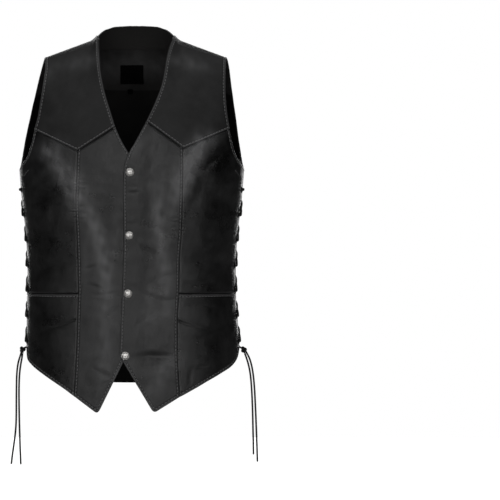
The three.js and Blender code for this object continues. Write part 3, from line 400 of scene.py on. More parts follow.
def form_at(side, places):
    """Points of the plain form. A negative level has passed over the ridge to the other side."""
    angle, level = places[..., 0], places[..., 1]
    drop = drop_of(np.abs(level))
    away = level < 0
    z = RIDGE_TOP - drop
    ring = ring_at(z)
    for _ in range(5):
        power = power_of(side, ring)
        x = ring["half_width"] * np.sign(np.cos(angle)) * np.abs(np.cos(angle)) ** (2 / power)
        z = ridge_at(x, drop) - drop
        ring = ring_at(z)
    front = np.where(away, side != "front", side == "front").astype(bool)
    power = np.where(front, ring["front_power"], ring["back_power"])
    share = np.abs(np.sin(angle)) ** (2 / power)
    over = np.clip(1 - (np.abs(x) / ring["half_width"]) ** power, 0, 1) ** (1 / power)
    share = np.where(away, over, share)
    depth = np.where(front, -ring["front"], ring["back"]) * share * roll_at(drop)
    return np.stack([ring["centre"] + x, depth, z], -1)


def normal_at(side, places):
    around, down = np.array([0.01, 0.0]), np.array([0.0, 0.8])
    across = form_at(side, places + around) - form_at(side, places - around)
    along = form_at(side, places + down) - form_at(side, places - down)
    normal = np.cross(across, along)
    normal /= np.linalg.norm(normal, axis=-1, keepdims=True)
    point = form_at(side, places)
    outward = np.stack([point[..., 0], point[..., 1], np.full(point.shape[:-1], 60.0)], -1)
    return np.where((normal * outward).sum(-1, keepdims=True) < 0, -normal, normal)


def turned(x, z, row):
    """Distances along and across a fold or crease that is given by its first three columns."""
    turn = math.radians(row[2])
    along = (x - row[0]) * math.cos(turn) + (z - row[1]) * math.sin(turn)
    across = (z - row[1]) * math.cos(turn) - (x - row[0]) * math.sin(turn)
    return along, across


def swell_at(distance, height, middle, half):
    """A soft ridge along a line that lies at the middle distance."""
    return height * np.exp(-(((distance - middle) / half) ** 2))


def bumps_at(rows, x, z):
    """The sum of soft bumps: x, z, turn from level, half length, half width, height."""
    total = np.zeros_like(x)
    for row in rows:
        along, across = turned(x, z, row)
        total += row[5] * np.exp(-((along / row[3]) ** 2) - (across / row[4]) ** 2)
    return total


def fold_at(side, x, z):
    return bumps_at(FOLDS[side], x, z)


# Painted sheen: lighter patches where the light's sheen falls, made a little uneven
def painted_sheen_patches_at(side, x, z):
    return bumps_at(PAINTED_SHEEN_PATCHES[side], x, z) * (0.82 + 0.30 * unevenness(x, z, 17, 31))


def crease_at(side, x, z):
    """A soft trough with a lower ridge beside it, for each listed crease."""
    total = np.zeros_like(x)
    for index, row in enumerate(CREASES[side]):
        along, across = turned(x, z, row)
        bow = across - CREASE_BOW * row[3] * (along / row[3]) ** 2 * (1 if index % 2 else -1)
        fade = np.exp(-((along / row[3]) ** 2) * CREASE_FADE)
        trough = np.exp(-((bow / row[4]) ** 2))
        ridge = swell_at(bow, CREASE_RIDGE, CREASE_RIDGE_AT * row[4], CREASE_RIDGE_WIDTH * row[4])
        total += row[5] * fade * (trough - ridge)
    return total


# Lines and nets of places


def curve_through(points, shares_of):
    """A smooth curve through each of the points. The function gives the shares of each span in turn."""
    padded = np.vstack([2 * points[0] - points[1], points, 2 * points[-1] - points[-2]])
    found = []
    for k in range(len(points) - 1):
        p0, p1, p2, p3 = padded[k:k + 4]
        d0, d1, d2 = (max(1e-9, math.sqrt(np.linalg.norm(b - a))) for a, b in ((p0, p1), (p1, p2), (p2, p3)))
        into = ((p1 - p0) / d0 - (p2 - p0) / (d0 + d1) + (p2 - p1) / d1) * d1
        out = ((p2 - p1) / d1 - (p3 - p1) / (d1 + d2) + (p3 - p2) / d2) * d1
        t = shares_of(k)[:, None]
        found.append(p1 + into * t + (3 * (p2 - p1) - 2 * into - out) * t ** 2
                     + (2 * (p1 - p2) + into + out) * t ** 3)
    return np.vstack(found)


def walked_along(line):
    """The way from a line's start to each of its points."""
    return np.concatenate([[0], np.cumsum(np.linalg.norm(np.diff(line, axis=0), axis=1))])


def spaced(places, count):
    """Even steps along a smooth line through the places, which passes through each of them."""
    scale = np.array([RADIAN_LENGTH, 1.0])
    knots = np.asarray(places, float) * scale
    line = curve_through(knots, lambda k: np.linspace(0, 1, CURVE_STEPS, endpoint=k == len(knots) - 2))
    walked = walked_along(line)
    even = np.linspace(0, walked[-1], count * DENSE + 1)
    return np.stack([np.interp(even, walked, line[:, axis]) for axis in (0, 1)], -1) / scale


def legs(corners, counts):
    """Legs that are straight in the front view."""
    x, z = [corners[0][0]], [corners[0][1]]
    for (start, end), count in zip(zip(corners, corners[1:]), counts):
        t = np.arange(1, count * DENSE + 1) / (count * DENSE)
        x.extend(start[0] * (1 - t) + end[0] * t)
        z.extend(start[1] * (1 - t) + end[1] * t)
    return spot("front", x, z)


def joined(*lines):
    return np.vstack([lines[0], *(line[1:] for line in lines[1:])])


def rounded(line, corner, reach):
    """The line with the corner at this index rounded over a reach on each side."""
    scaled = line * (RADIAN_LENGTH, 1.0)
    near = np.nonzero(np.linalg.norm(scaled - scaled[corner], axis=1) < reach)[0]
    first, last, middle = scaled[near[0]], scaled[near[-1]], scaled[corner]
    away = np.linalg.norm(scaled[near] - middle, axis=1) / (2 * reach)
    t = (0.5 + np.where(near < corner, -away, away))[:, None]
    scaled[near] = (1 - t) ** 2 * first + 2 * t * (1 - t) * middle + t ** 2 * last
    return scaled / (RADIAN_LENGTH, 1.0)


def at_share(line, share):
    index = np.asarray(share) * (len(line) - 1)
    return np.stack([np.interp(index, np.arange(len(line)), line[:, axis]) for axis in (0, 1)], -1)


def net_between(top, bottom, left, right, columns, rows):
    """A net of places between four edges, at the given shares across and down."""
    u, v = columns[None, :, None], rows[:, None, None]
    upper, lower = at_share(top, columns)[None], at_share(bottom, columns)[None]
    west, east = at_share(left, rows)[:, None], at_share(right, rows)[:, None]
    return ((1 - v) * upper + v * lower + (1 - u) * west + u * east - (1 - u) * (1 - v) * top[0]
            - u * (1 - v) * top[-1] - (1 - u) * v * bottom[0] - u * v * bottom[-1])


# Distances of the rows beside an edge. The first lies almost on the seam, so that it shows no light
EDGE_STEPS = 0.02 + np.array([0, 0.2, 0.5, 0.85, 1.3, 1.8, 2.3, 2.8, 3.3, 3.8, 4.3, 4.9, 5.7, 6.9, 8.3])


def graded(length, cell, through=()):
    """Shares along a length, close together near both ends, with a row at each corner between them."""
    ends = EDGE_STEPS / length
    stops = [ends[-1], *through, 1 - ends[-1]]
    shares = [ends[:-1]]
    for low, high in zip(stops, stops[1:]):
        count = max(1, round((high - low) * length / cell))
        shares.append(np.linspace(low, high, count + 1)[:-1])
    return np.concatenate([*shares, (1 - ends)[::-1]])


# Outlines of the panels: top, bottom, left and right edges as dense lines of places


def shoulder_line(side, hand, count):
    """The shoulder seam from the tip to the neck, which the front and the back share."""
    t = np.linspace(1, 0, count * DENSE + 1)
    offset = hand * (SHOULDER["neck"] * (1 - t) + SHOULDER["tip"] * t)
    drop = SHOULDER["neck_drop"] * (1 - t) + SHOULDER["tip_drop"] * t
    z = ridge_at(offset, drop) - drop
    places = spot(side, offset + ring_at(z)["centre"], z)
    if side == "back":
        places[:, 1] = -level_of(drop)
    return places


def on_front(points):
    x, z = np.array(points, float).T
    return spot("front", x, z)


def on_back(hand, points):
    x, z = np.array(points, float).T
    return spot("back", ring_at(z)["centre"] + hand * x, z)


def laced(side, hand, z):
    return side_spot(side, hand, GAP_HALF, float(z))


def level_line(side, start, end, count, height_at):
    """A line between two angles that follows a given height."""
    share = np.linspace(0, 1, count * DENSE + 1)
    angle = start[0] + (end[0] - start[0]) * share
    z = height_at(share)
    ring = ring_at(z)
    power = power_of(side, ring)
    offset = ring["half_width"] * np.sign(np.cos(angle)) * np.abs(np.cos(angle)) ** (2 / power)
    return np.stack([angle, level_of(drop_at(offset, z))], -1)


def front_outlines(hand):
    corner, closing_top = PRINCESS_SEAM[hand][0], CLOSING_EDGE[hand][0]
    yoke_outer = legs([FRONT_UNDERARM[hand][0], corner], [CELLS["yoke_outer"]])
    yoke_inner = legs([corner, closing_top], [CELLS["yoke_inner"]])
    seam = PRINCESS_SEAM[hand]
    seam_upper = spaced(on_front([row for row in seam if row[1] >= POCKET_HEIGHT]), CELLS["princess_upper"])
    seam_lower = spaced(on_front([row for row in seam if row[1] <= POCKET_HEIGHT]), CELLS["princess_lower"])
    upper_heights = [z for z in LACED_HEIGHTS if z >= POCKET_HEIGHT]
    lower_heights = [z for z in LACED_HEIGHTS if z <= POCKET_HEIGHT]
    laced_upper = spaced([laced("front", hand, z) for z in upper_heights],
                         CELLS["princess_upper"] - CELLS["armhole"])
    laced_lower = spaced([laced("front", hand, z) for z in lower_heights], CELLS["princess_lower"])
    underarm = spaced([*on_front(FRONT_UNDERARM[hand]), laced("front", hand, LACED_TOP)], CELLS["armhole"])
    pocket = level_line("front", laced("front", hand, POCKET_HEIGHT), seam_upper[-1], CELLS["yoke_outer"],
                        lambda share: np.full_like(share, POCKET_HEIGHT))
    hem = spaced([laced("front", hand, LACED_BOTTOM), *on_front(FRONT_HEM[hand])], CELLS["yoke_outer"])
    shoulder = shoulder_line("front", hand, CELLS["yoke_outer"] + CELLS["yoke_inner"])
    neck = spaced([shoulder[-1], *on_front(NECK_EDGE[hand])], CELLS["yoke_rows"])
    arm = spaced([shoulder[0], *on_front(FRONT_ARMHOLE[hand])], CELLS["yoke_rows"])
    closing = spaced(on_front(CLOSING_EDGE[hand]), CELLS["princess_upper"] + CELLS["princess_lower"])
    point = legs([seam[-1], *FRONT_POINT[hand]], [CELLS["point"], CELLS["yoke_inner"] - CELLS["point"]])
    point = rounded(point, CELLS["point"] * DENSE, TIP_ROUND)
    return {
        "yoke": (shoulder, joined(yoke_outer, yoke_inner), arm, neck),
        "front_center": (yoke_inner, point, joined(seam_upper, seam_lower), closing),
        "front_side_upper": (yoke_outer, pocket, joined(underarm, laced_upper), seam_upper),
        "front_side_lower": (pocket, hem, laced_lower, seam_lower),
    }


def back_outlines():
    """The middle of the back and its two sides. The middle runs from the wearer's left to the right."""
    seams, armholes, shoulders, napes = [], [], [], []
    for hand in (1, -1):
        shoulder = shoulder_line("back", hand, CELLS["shoulder"])
        tip_angle = on_back(hand, [(SHOULDER["tip"] + SHOULDER["spread"], ridge_at(SHOULDER["tip"]))])[0, 0]
        over_ridge = (tip_angle, float(level_of(SHOULDER["sink"])))
        seams.append(spaced(on_back(hand, BACK_SEAM), CELLS["back_rows"]))
        armholes.append(spaced([shoulder[0], over_ridge, *on_back(hand, BACK_ARMHOLE)],
                               CELLS["armhole_rows"]))
        shoulders.append(shoulder)
        napes.append(spaced([shoulder[-1], *on_back(hand, NAPE_EDGE)], CELLS["nape"] // 2))
    top = joined(shoulders[0], napes[0], napes[1][::-1], shoulders[1][::-1])
    rise = BACK_HEM_HEIGHT["seam"] - BACK_HEM_HEIGHT["middle"]
    hem = level_line("back", seams[0][-1], seams[1][-1], 2 * CELLS["shoulder"] + CELLS["nape"],
                     lambda share: BACK_HEM_HEIGHT["middle"] + rise * (2 * share - 1) ** 2)
    outlines = {"back_center": (top, hem, joined(armholes[0], seams[0]), joined(armholes[1], seams[1]))}
    for hand, seam in zip((1, -1), seams):
        edge = spaced([laced("back", hand, z) for z in LACED_HEIGHTS], CELLS["back_rows"])
        underarm = spaced([laced("back", hand, LACED_TOP), *on_back(hand, [(191.5, -198)]), seam[0]],
                          CELLS["back_side"])
        low = spaced([laced("back", hand, LACED_BOTTOM), *on_back(hand, BACK_HEM_CORNER)],
                     CELLS["back_side"])
        outlines["back_side_" + ("left" if hand > 0 else "right")] = (underarm, low, edge, seam)
    return outlines


# How each kind of edge is worked: how far it rounds over, how deep it is sewn down and over what
# width, how much it swells between edge and stitching, and the distances of its stitch lines
EDGE_COLUMNS = ("roll", "sink", "reach", "swell", "stitches")
EDGE_KINDS = {kind: dict(zip(EDGE_COLUMNS, row)) for kind, row in {
    "turned": (0.9, 0.0, 1.0, 0.42, (4.4,)),
    "closing": (0.9, 0.0, 1.0, 0.36, (3.2,)),
    "yoke_low": (1.3, 0.0, 1.0, 0.55, (2.9,)),
    "under_yoke": (0.2, 1.4, 2.4, 0.0, ()),
    "shoulder": (0.4, 0.35, 1.6, 0.0, ()),
    "princess_center": (0.4, 0.30, 1.1, 0.48, (3.5,)),
    "princess_side": (0.4, 0.45, 1.4, 0.0, ()),
    "laced": (0.9, 0.0, 1.0, 0.22, (3.0, 20.5)),
    "pocket_top": (0.3, 1.5, 1.7, 0.0, ()),
    "pocket_welt": (1.0, 0.0, 1.0, 0.25, (4.2,)),
    "back_seam_center": (0.4, 0.35, 1.2, 0.40, (3.2,)),
    "back_seam_side": (0.5, 0.60, 1.8, 0.0, ()),
    "plain": (0.3, 0.0, 1.0, 0.0, ()),
}.items()}
# Painted highlight: a lighter line along these kinds of edge, where their rounded roll catches the light; its
# strength and its distance from the edge
HIGHLIT_EDGE_KINDS = ("turned", "closing", "yoke_low", "laced", "pocket_welt")
EDGE_HIGHLIGHT_STRENGTH, EDGE_HIGHLIGHT_AT = 0.42, 1.9

# The swelling before the first stitch line, as shares of its distance, the groove of each line, and the
# low ridge inside it
SWELL_AT, SWELL_HALF = 0.52, 0.34
GROOVE, GROOVE_WIDTH = 0.62, 0.85
INNER_RIDGE, INNER_RIDGE_AT, INNER_RIDGE_HALF = 0.12, 2.4, 1.6
TOP, LOW = 1e3, -1e3

# Each edge as one kind, or as kinds from the top down: (kind, from this height, to this height)
BACK_SIDE_EDGE = [("turned", TOP, -184), ("back_seam_center", -184, LOW)]
PANELS = {
    "yoke": {
        "cell": (2.3, 2.3), "through": ((7 / 12,), ()),
        "top": "shoulder", "bottom": "yoke_low", "left": "turned", "right": "turned",
    },
    "front_center": {
        "cell": (2.4, 1.8), "through": ((2 / 5,), ()),
        "top": "under_yoke", "bottom": "turned", "left": "princess_center", "right": "closing",
    },
    "front_side_upper": {
        "cell": (2.2, 1.8), "through": ((), (4 / 12,)),
        "top": "under_yoke", "bottom": "pocket_top",
        "left": [("turned", TOP, LACED_TOP), ("laced", LACED_TOP, LOW)], "right": "princess_side",
    },
    "front_side_lower": {
        "cell": (2.0, 1.8), "through": ((), ()),
        "top": "pocket_welt", "bottom": "turned", "left": "laced", "right": "princess_side",
    },
    "back_center": {
        "cell": (3.3, 3.0), "through": ((4 / 16, 8 / 16, 12 / 16), (10 / 28,)),
        "top": [("turned", TOP, 21), ("shoulder", 21, LOW)], "bottom": "turned",
        "left": BACK_SIDE_EDGE, "right": BACK_SIDE_EDGE,
    },
    "back_side": {
        "cell": (2.4, 2.2), "through": ((), ()),
        "top": "turned", "bottom": "turned", "left": "laced", "right": "back_seam_side",
    },
    "inside": {
        "cell": (6.5, 6.5), "through": ((), ()),
        "top": "plain", "bottom": "plain", "left": "plain", "right": "plain",
    },
}

# Short wrinkles across the princess seams, by zones of height: middle, half height, depth, reach
PUCKERS = {
    -1: [(-231, 13, 0.40, 7.0), (-283, 18, 0.45, 7.0), (-372, 26, 0.20, 4.0), (-520, 62, 0.34, 4.4)],
    1: [(-215, 40, 0.16, 4.0), (-302, 14, 0.42, 7.0), (-430, 24, 0.20, 4.0), (-540, 70, 0.38, 4.4)],
}
PUCKER_WAVES = (4.3, 5.6, 7.7)
PUCKER_REACH = 4.0
# Folds that run out from the princess seam over the pocket: start and end in the front view
DARTS = {-1: ((-97.2, -463.5), (-144.5, -480)), 1: ((77.4, -464.4), (132.4, -481.6))}
# A dart's raised lip and its sharp line: height, distance above the fold, half width
DART_LIP, DART_LINE, DART_BOW = (0.8, 2.6, 2.2), (2.2, -0.2, 1.5), 1.6
# Waviness of the leather: depth, size of the waves, how far the heights are drawn together
WAVINESS = ((0.42, 74, 1.0), (0.17, 24, 1.0), (0.10, 11, 0.45))
# A crease's bow and fade, and the lower ridge beside it: height, place and width in troughs
CREASE_BOW, CREASE_FADE = 0.10, 1.2
CREASE_RIDGE, CREASE_RIDGE_AT, CREASE_RIDGE_WIDTH = 0.42, 1.9, 1.3
# Around a snap: depth and reach of the hollow, then height, place and half width of the ring round it
SNAP_HOLLOW, SNAP_HOLLOW_REACH, SNAP_RING = 0.45, 8.4, (0.12, 11.5, 2.2)
EDGE_REACH = 34


def kinds_along(plan, edge):
    """An edge's kinds, each with the two heights that it holds between."""
    kinds = plan[edge]
    return [(kinds, TOP, LOW)] if isinstance(kinds, str) else kinds


def unevenness(x, z, size, seed):
    """A soft waviness with no direction, from a few sine waves that are seeded."""
    rng = np.random.default_rng(seed)
    total = np.zeros_like(x)
    for _ in range(9):
        turn, phase = rng.uniform(0, 2 * math.pi, 2)
        length = size * rng.uniform(0.7, 1.7)
        total += np.sin((x * math.cos(turn) + z * math.sin(turn)) * 2 * math.pi / length + phase)
    return total / 4


def body_relief(side, form, calm=1.0):
    """Creases and waviness that the leather and what lies inside it share. They fade to the sides."""
    x, z = form[..., 0], form[..., 2]
    seed = 11 if side == "front" else 23
    relief = sum(depth * unevenness(x, z * squeeze, size, seed + step)
                 for step, (depth, size, squeeze) in enumerate(WAVINESS))
    return (relief * calm - crease_at(side, x, z)) * smoothstep(22, 48, np.abs(form[..., 1]))


def kind_share(z, high, low):
    """How far an edge's kind holds at a height: 1 between its two ends, with soft ends."""
    return smoothstep(low - 1.5, low + 1.5, z) * (1 - smoothstep(high - 1.5, high + 1.5, z))


def edge_relief(kind, distance):
    """How an edge rounds over, sinks into its seam, swells and is drawn in at its stitching."""
    work = EDGE_KINDS[kind]
    over = np.clip(1 - distance / work["roll"], 0, 1)
    relief = -work["roll"] * (1 - np.sqrt(1 - over ** 2))
    relief -= swell_at(distance, work["sink"], 0, work["reach"])
    for order, at in enumerate(work["stitches"]):
        if order == 0:
            relief += swell_at(distance, work["swell"], at * SWELL_AT, at * SWELL_HALF)
        relief -= swell_at(distance, GROOVE, at, GROOVE_WIDTH)
        relief += swell_at(distance - at, INNER_RIDGE, INNER_RIDGE_AT, INNER_RIDGE_HALF)
    return relief


def pucker_relief(hand, distance, position, z):
    """Uneven short wrinkles across a seam."""
    rng = np.random.default_rng(5 + hand)
    wave = np.zeros_like(z)
    for length in PUCKER_WAVES:
        wave += np.sin(2 * math.pi * position / length + rng.uniform(0, 6.28)
                       + 1.4 * np.sin(position / 9.0 + rng.uniform(0, 6.28)))
    uneven = 0.75 + 0.45 * np.sin(position / 3.1 + rng.uniform(0, 6.28))
    depth = np.zeros_like(z)
    reach = np.full_like(z, PUCKER_REACH)
    for middle, half, height, long in PUCKERS[hand]:
        here = np.exp(-(((z - middle) / half) ** 4))
        depth += height * here
        reach += (long - PUCKER_REACH) * here
    return (depth + 0.05) * wave / 2 * np.exp(-((distance / (reach * uneven)) ** 1.6))


def dart_relief(hand, x, z):
    """A fold with a raised upper lip and a sharp low line, which runs out away from the seam."""
    (x0, z0), (x1, z1) = DARTS[hand]
    length = math.hypot(x1 - x0, z1 - z0)
    along = ((x - x0) * (x1 - x0) + (z - z0) * (z1 - z0)) / length ** 2
    above = ((z - z0) * (x1 - x0) - (x - x0) * (z1 - z0)) / length * math.copysign(1, x1 - x0)
    above += DART_BOW * np.sin(np.clip(along, 0, 1) * math.pi)
    fade = np.clip(1 - along, 0, 1) ** 0.8 * smoothstep(-0.06, 0.02, along)
    return fade * (swell_at(above, *DART_LIP) - swell_at(above, *DART_LINE))


def neck_corner_relief(x, z):
    """Each yoke's neck corner lies down on the shoulder seam."""
    away = np.hypot((np.abs(x) - SHOULDER["neck"]) / 13, (z - RIDGE_TOP + SHOULDER["neck_drop"]) / 11)
    return -2.2 * np.exp(-(away ** 2))


def snap_relief(x, z):
    """The leather is pressed in round each snap."""
    relief = np.zeros_like(x)
    for snap_x, snap_z in SNAP_PLACES:
        away = np.hypot(x - snap_x, z - snap_z)
        relief -= SNAP_HOLLOW * np.exp(-((away / SNAP_HOLLOW_REACH) ** 4))
        relief += swell_at(away, *SNAP_RING)
    return relief


def closing_rise(form):
    """The wearer's left front lies on the right one near the closing edge, so it stands out there."""
    rows = np.array([row for row in CLOSING_EDGE[1] if row[1] <= CLOSING_START])
    edge = np.interp(-form[..., 2], -rows[:, 1], rows[:, 0])
    return OVERLAP_RISE * (1 - smoothstep(0, OVERLAP_FADE, form[..., 0] - edge - OVERLAP_WIDTH))


def line_length(side, line):
    return float(np.linalg.norm(np.diff(form_at(side, line[::8]), axis=0), axis=1).sum())


def nearest_on(points, line, reach, rough):
    """Distance to an edge, and the place along it, for the points that a rough distance says are near."""
    shares = np.linspace(0, 1, 9)[:-1]
    dense = np.concatenate([*(line[:-1] + (line[1:] - line[:-1]) * share for share in shares), line[-1:]])
    order = np.concatenate([*(np.arange(len(line) - 1) + share for share in shares), [len(line) - 1]])
    walked = walked_along(line)
    tree = kdtree.KDTree(len(dense))
    for index, point in enumerate(dense):
        tree.insert(point, index)
    tree.balance()
    distance, position = rough.copy(), np.zeros_like(rough)
    for spot_index in np.argwhere(rough < reach):
        key = tuple(spot_index)
        _, index, away = tree.find(points[key])
        distance[key] = away
        position[key] = np.interp(order[index], np.arange(len(line)), walked)
    return distance, position


def lay_panel(side, outline, plan, wall, out=0.0, rise=None, span=((0, 1), (0, 1)), hand=0, calm=1.0,
              relief=None):
    """Lays a panel on the form. Gives its outer and inner skins and what the stitching needs."""
    top, bottom, left, right = outline
    shares = []
    for (start, end), pair, cell, through in zip(span, ((top, bottom), (left, right)), plan["cell"],
                                                 plan["through"]):
        length = max(line_length(side, line) for line in pair) * (end - start)
        shares.append(start + (end - start) * graded(length, cell, through))
    places = net_between(top, bottom, left, right, *shares)
    form, normal = form_at(side, places), normal_at(side, places)
    x, z = form[..., 0], form[..., 2]
    stand = out + (rise(form) if rise else 0.0) - fold_at(side, x, z)
    skin = form + normal * np.broadcast_to(stand, x.shape)[..., None]
    across = np.cumsum(np.linalg.norm(np.diff(skin, axis=1, prepend=skin[:, :1]), axis=2), axis=1)
    down = np.cumsum(np.linalg.norm(np.diff(skin, axis=0, prepend=skin[:1]), axis=2), axis=0)
    rough = {"left": across, "right": across[:, -1:] - across, "top": down, "bottom": down[-1:] - down}
    lines = {"left": skin[:, 0], "right": skin[:, -1], "top": skin[0], "bottom": skin[-1]}
    body = body_relief(side, form, calm)
    # The painted sheen patches start the panel's painted light; the painted edge highlights are added below
    outer, wear, near = body.copy(), painted_sheen_patches_at(side, x, z), {}
    for edge, line in lines.items():
        distance, position = nearest_on(skin, line, EDGE_REACH, rough[edge])
        near[edge] = distance
        for kind, high, low in kinds_along(plan, edge):
            share = kind_share(z, high, low)
            outer += share * edge_relief(kind, distance)
            # Painted highlight along the edge's rounded roll
            if kind in HIGHLIT_EDGE_KINDS:
                wear += share * EDGE_HIGHLIGHT_STRENGTH * swell_at(distance, 1, EDGE_HIGHLIGHT_AT, 1)
            if kind.startswith("princess"):
                outer += pucker_relief(hand, distance, position, z)
    if relief is not None:
        outer += relief(x, z)
    return {
        "outer": (skin + normal * outer[..., None]) * MM,
        "inner": (skin + normal * (body - wall)[..., None]) * MM,
        "normal": normal, "near": near, "plan": plan, "z": z,
        "wear": wear, "flat": np.stack([across, down], -1) * MM,
    }


@functools.cache
def front_lines(hand):
    return front_outlines(hand)


@functools.cache
def back_lines():
    return back_outlines()


@functools.cache
def panel(name):
    """The laid panel of a leather node, worked out once and used by its piece and by its stitching."""
    if name == "back_center":
        return lay_panel("back", back_lines()[name], PANELS[name], LEATHER)
    kind, _, wearer = name.rpartition("_")
    hand = HANDS[wearer]
    if kind == "back_side":
        return lay_panel("back", back_lines()[name], PANELS[kind], LEATHER)
    outline, plan = front_lines(hand)[kind], PANELS[kind]
    if kind == "yoke":
        return lay_panel("front", outline, plan, LEATHER + YOKE_RISE, out=YOKE_RISE, calm=0.45,
                         relief=neck_corner_relief)
    if kind == "front_center":
        left = hand > 0
        return lay_panel("front", outline, plan, LEATHER, rise=closing_rise if left else None, hand=hand,
                         relief=snap_relief if left else None)
    dart = functools.partial(dart_relief, hand) if kind == "front_side_lower" else None
    return lay_panel("front", outline, plan, LEATHER, hand=hand, relief=dart)


# Meshes


def new_piece(name, points, faces, materials, slots=None, flat=None, wear=None, smooth=50):
    """A closed mesh in its own place, with outward faces, as a new object."""
    mesh = bpy.data.meshes.new(name)
    mesh.from_pydata(points, [], faces)
    for material in materials:
        mesh.materials.append(material)
    if slots is not None:
        mesh.polygons.foreach_set("material_index", np.asarray(slots, np.int32))
    # Painted sheen and painted edge highlights, kept as a point attribute for the leather's colour
    if wear is not None:
        mesh.attributes.new("wear", "FLOAT", "POINT").data.foreach_set("value", wear.astype(np.float32))
    if flat is not None:
        corners = np.empty(len(mesh.loops), np.int32)
        mesh.loops.foreach_get("vertex_index", corners)
        layer = mesh.uv_layers.new(name="flat")
        layer.data.foreach_set("uv", flat[corners].astype(np.float32).ravel())
    solid = bmesh.new()
    solid.from_mesh(mesh)
    bmesh.ops.recalc_face_normals(solid, faces=solid.faces)
    solid.to_mesh(mesh)
    solid.free()
    mesh.shade_smooth()
    mesh.set_sharp_from_angle(angle=math.radians(smooth))
    piece = bpy.data.objects.new(name, mesh)
    bpy.context.scene.collection.objects.link(piece)
    return piece


def quads_of(rows, columns, shift=0):
    index = np.arange(rows * columns).reshape(rows, columns) + shift
    return np.stack([index[:-1, :-1], index[1:, :-1], index[1:, 1:], index[:-1, 1:]], -1).reshape(-1, 4)


def rim_of(rows, columns):
    """The points round the border of a grid, in order."""
    index = np.arange(rows * columns).reshape(rows, columns)
    return np.concatenate([index[0, :-1], index[:-1, -1], index[-1, :0:-1], index[:0:-1, 0]])


def shell(name, laid, materials):
    """The closed shell of a laid panel: outer skin, inner skin and the rim between them."""
    rows, columns = laid["z"].shape
    count = rows * columns
    outer, inner = quads_of(rows, columns), quads_of(rows, columns, count)[:, ::-1]
    border = rim_of(rows, columns)
    after = np.roll(border, -1)
    rim = np.stack([border, after, after + count, border + count], -1)
    points = np.concatenate([laid["outer"].reshape(-1, 3), laid["inner"].reshape(-1, 3)])
    slots = np.concatenate([np.zeros(len(outer)), np.ones(len(inner)), np.zeros(len(rim))])
    slots = slots if len(materials) > 1 else np.zeros(len(slots))
    return new_piece(name, points.tolist(), np.concatenate([outer, inner, rim]).tolist(), materials, slots,
                     np.tile(laid["flat"].reshape(-1, 2), (2, 1)), np.tile(laid["wear"].ravel(), 2))


def tube_parts(route, radius, sides, flatten=1.0):
    """Points and faces of a closed tube along a route, its rings turned as little as they can be."""
    route = np.asarray(route)
    way = np.gradient(route, axis=0)
    way /= np.linalg.norm(way, axis=1, keepdims=True)
    out = np.cross(way[0], (0.3, 0.9, 0.1))
    out /= np.linalg.norm(out)
    turn = np.arange(sides) * 2 * math.pi / sides
    rings = []
    for point, along in zip(route, way):
        out = out - along * out.dot(along)
        out /= np.linalg.norm(out)
        aside = np.cross(along, out)
        rings.append(point + radius * (np.outer(np.cos(turn), out) * flatten + np.outer(np.sin(turn), aside)))
    points = np.concatenate([*rings, route[:1], route[-1:]])
    faces = []
    for k in range(len(route) - 1):
        for j in range(sides):
            a, b = k * sides + j, k * sides + (j + 1) % sides
            faces.append((a, b, b + sides, a + sides))
    low, high = len(route) * sides, len(route) * sides + 1
    last = (len(route) - 1) * sides
    for j in range(sides):
        faces.append((low, (j + 1) % sides, j))
        faces.append((high, last + j, last + (j + 1) % sides))
    return points, faces


def smooth_line(points, pieces=8):
    """A smooth line through each of the points, as the solids' own routes run."""
    return curve_through(np.asarray(points, float), lambda k: np.linspace(0, 1, pieces + 1)[min(k, 1):])


def listed_piece(name, parts, materials, smooth=50):
    """A piece from loose parts, each its points and its faces, which may have triangles among them."""
    points, faces, shift = [], [], 0
    for part_points, part_faces in parts:
        points.extend(np.asarray(part_points).tolist())
        faces.extend(tuple(index + shift for index in face) for face in part_faces)
        shift += len(part_points)
    return new_piece(name, points, faces, materials, smooth=smooth)


def lathe_parts(profile, sides):
    """Points and faces of a ring turned from a closed outline of (across, up) points."""
    turn = np.arange(sides) * 2 * math.pi / sides
    points = [(across * math.cos(t), across * math.sin(t), up) for t in turn for across, up in profile]
    count, faces = len(profile), []
    for j in range(sides):
        for k in range(count):
            a, b = j * count + k, j * count + (k + 1) % count
            c, d = (j + 1) % sides * count + (k + 1) % count, (j + 1) % sides * count + k
            faces.append((a, d, c, b))
    return np.array(points), faces


def stood(points, place, normal):
    """Points that stand on the XY plane, turned to stand on the wall at a place."""
    normal = Vector(normal)
    turn = np.array(normal.to_track_quat("Z", "Y").to_matrix())
    return np.asarray(points) @ turn.T + np.asarray(place)


def wall_place(side, where, out):
    """A point and the normal on the finished wall, its folds and waviness with it."""
    where = np.asarray(where)
    form, normal = form_at(side, where), normal_at(side, where)
    lift = out - fold_at(side, form[0], form[2]) + body_relief(side, form)
    return (form + normal * lift) * MM, normal


# Materials


class Nodes:
    """A node tree, its nodes added one by one. Inputs are given by name, or as i0, i1 and so on."""

    def __init__(self, tree):
        self.tree = tree

    def add(self, kind, settings=None, **inputs):
        node = self.tree.nodes.new(kind)
        for key, value in (settings or {}).items():
            setattr(node, key, value)
        self.feed(node, **inputs)
        return node

    def feed(self, node, **inputs):
        """Each value goes into its socket: an output by a link, anything else as the socket's own value."""
        for key, value in inputs.items():
            numbered = key[0] == "i" and key[1:].isdigit()
            socket = node.inputs[int(key[1:]) if numbered else key.replace("_", " ")]
            if isinstance(value, bpy.types.NodeSocket):
                self.tree.links.new(value, socket)
            else:
                socket.default_value = value


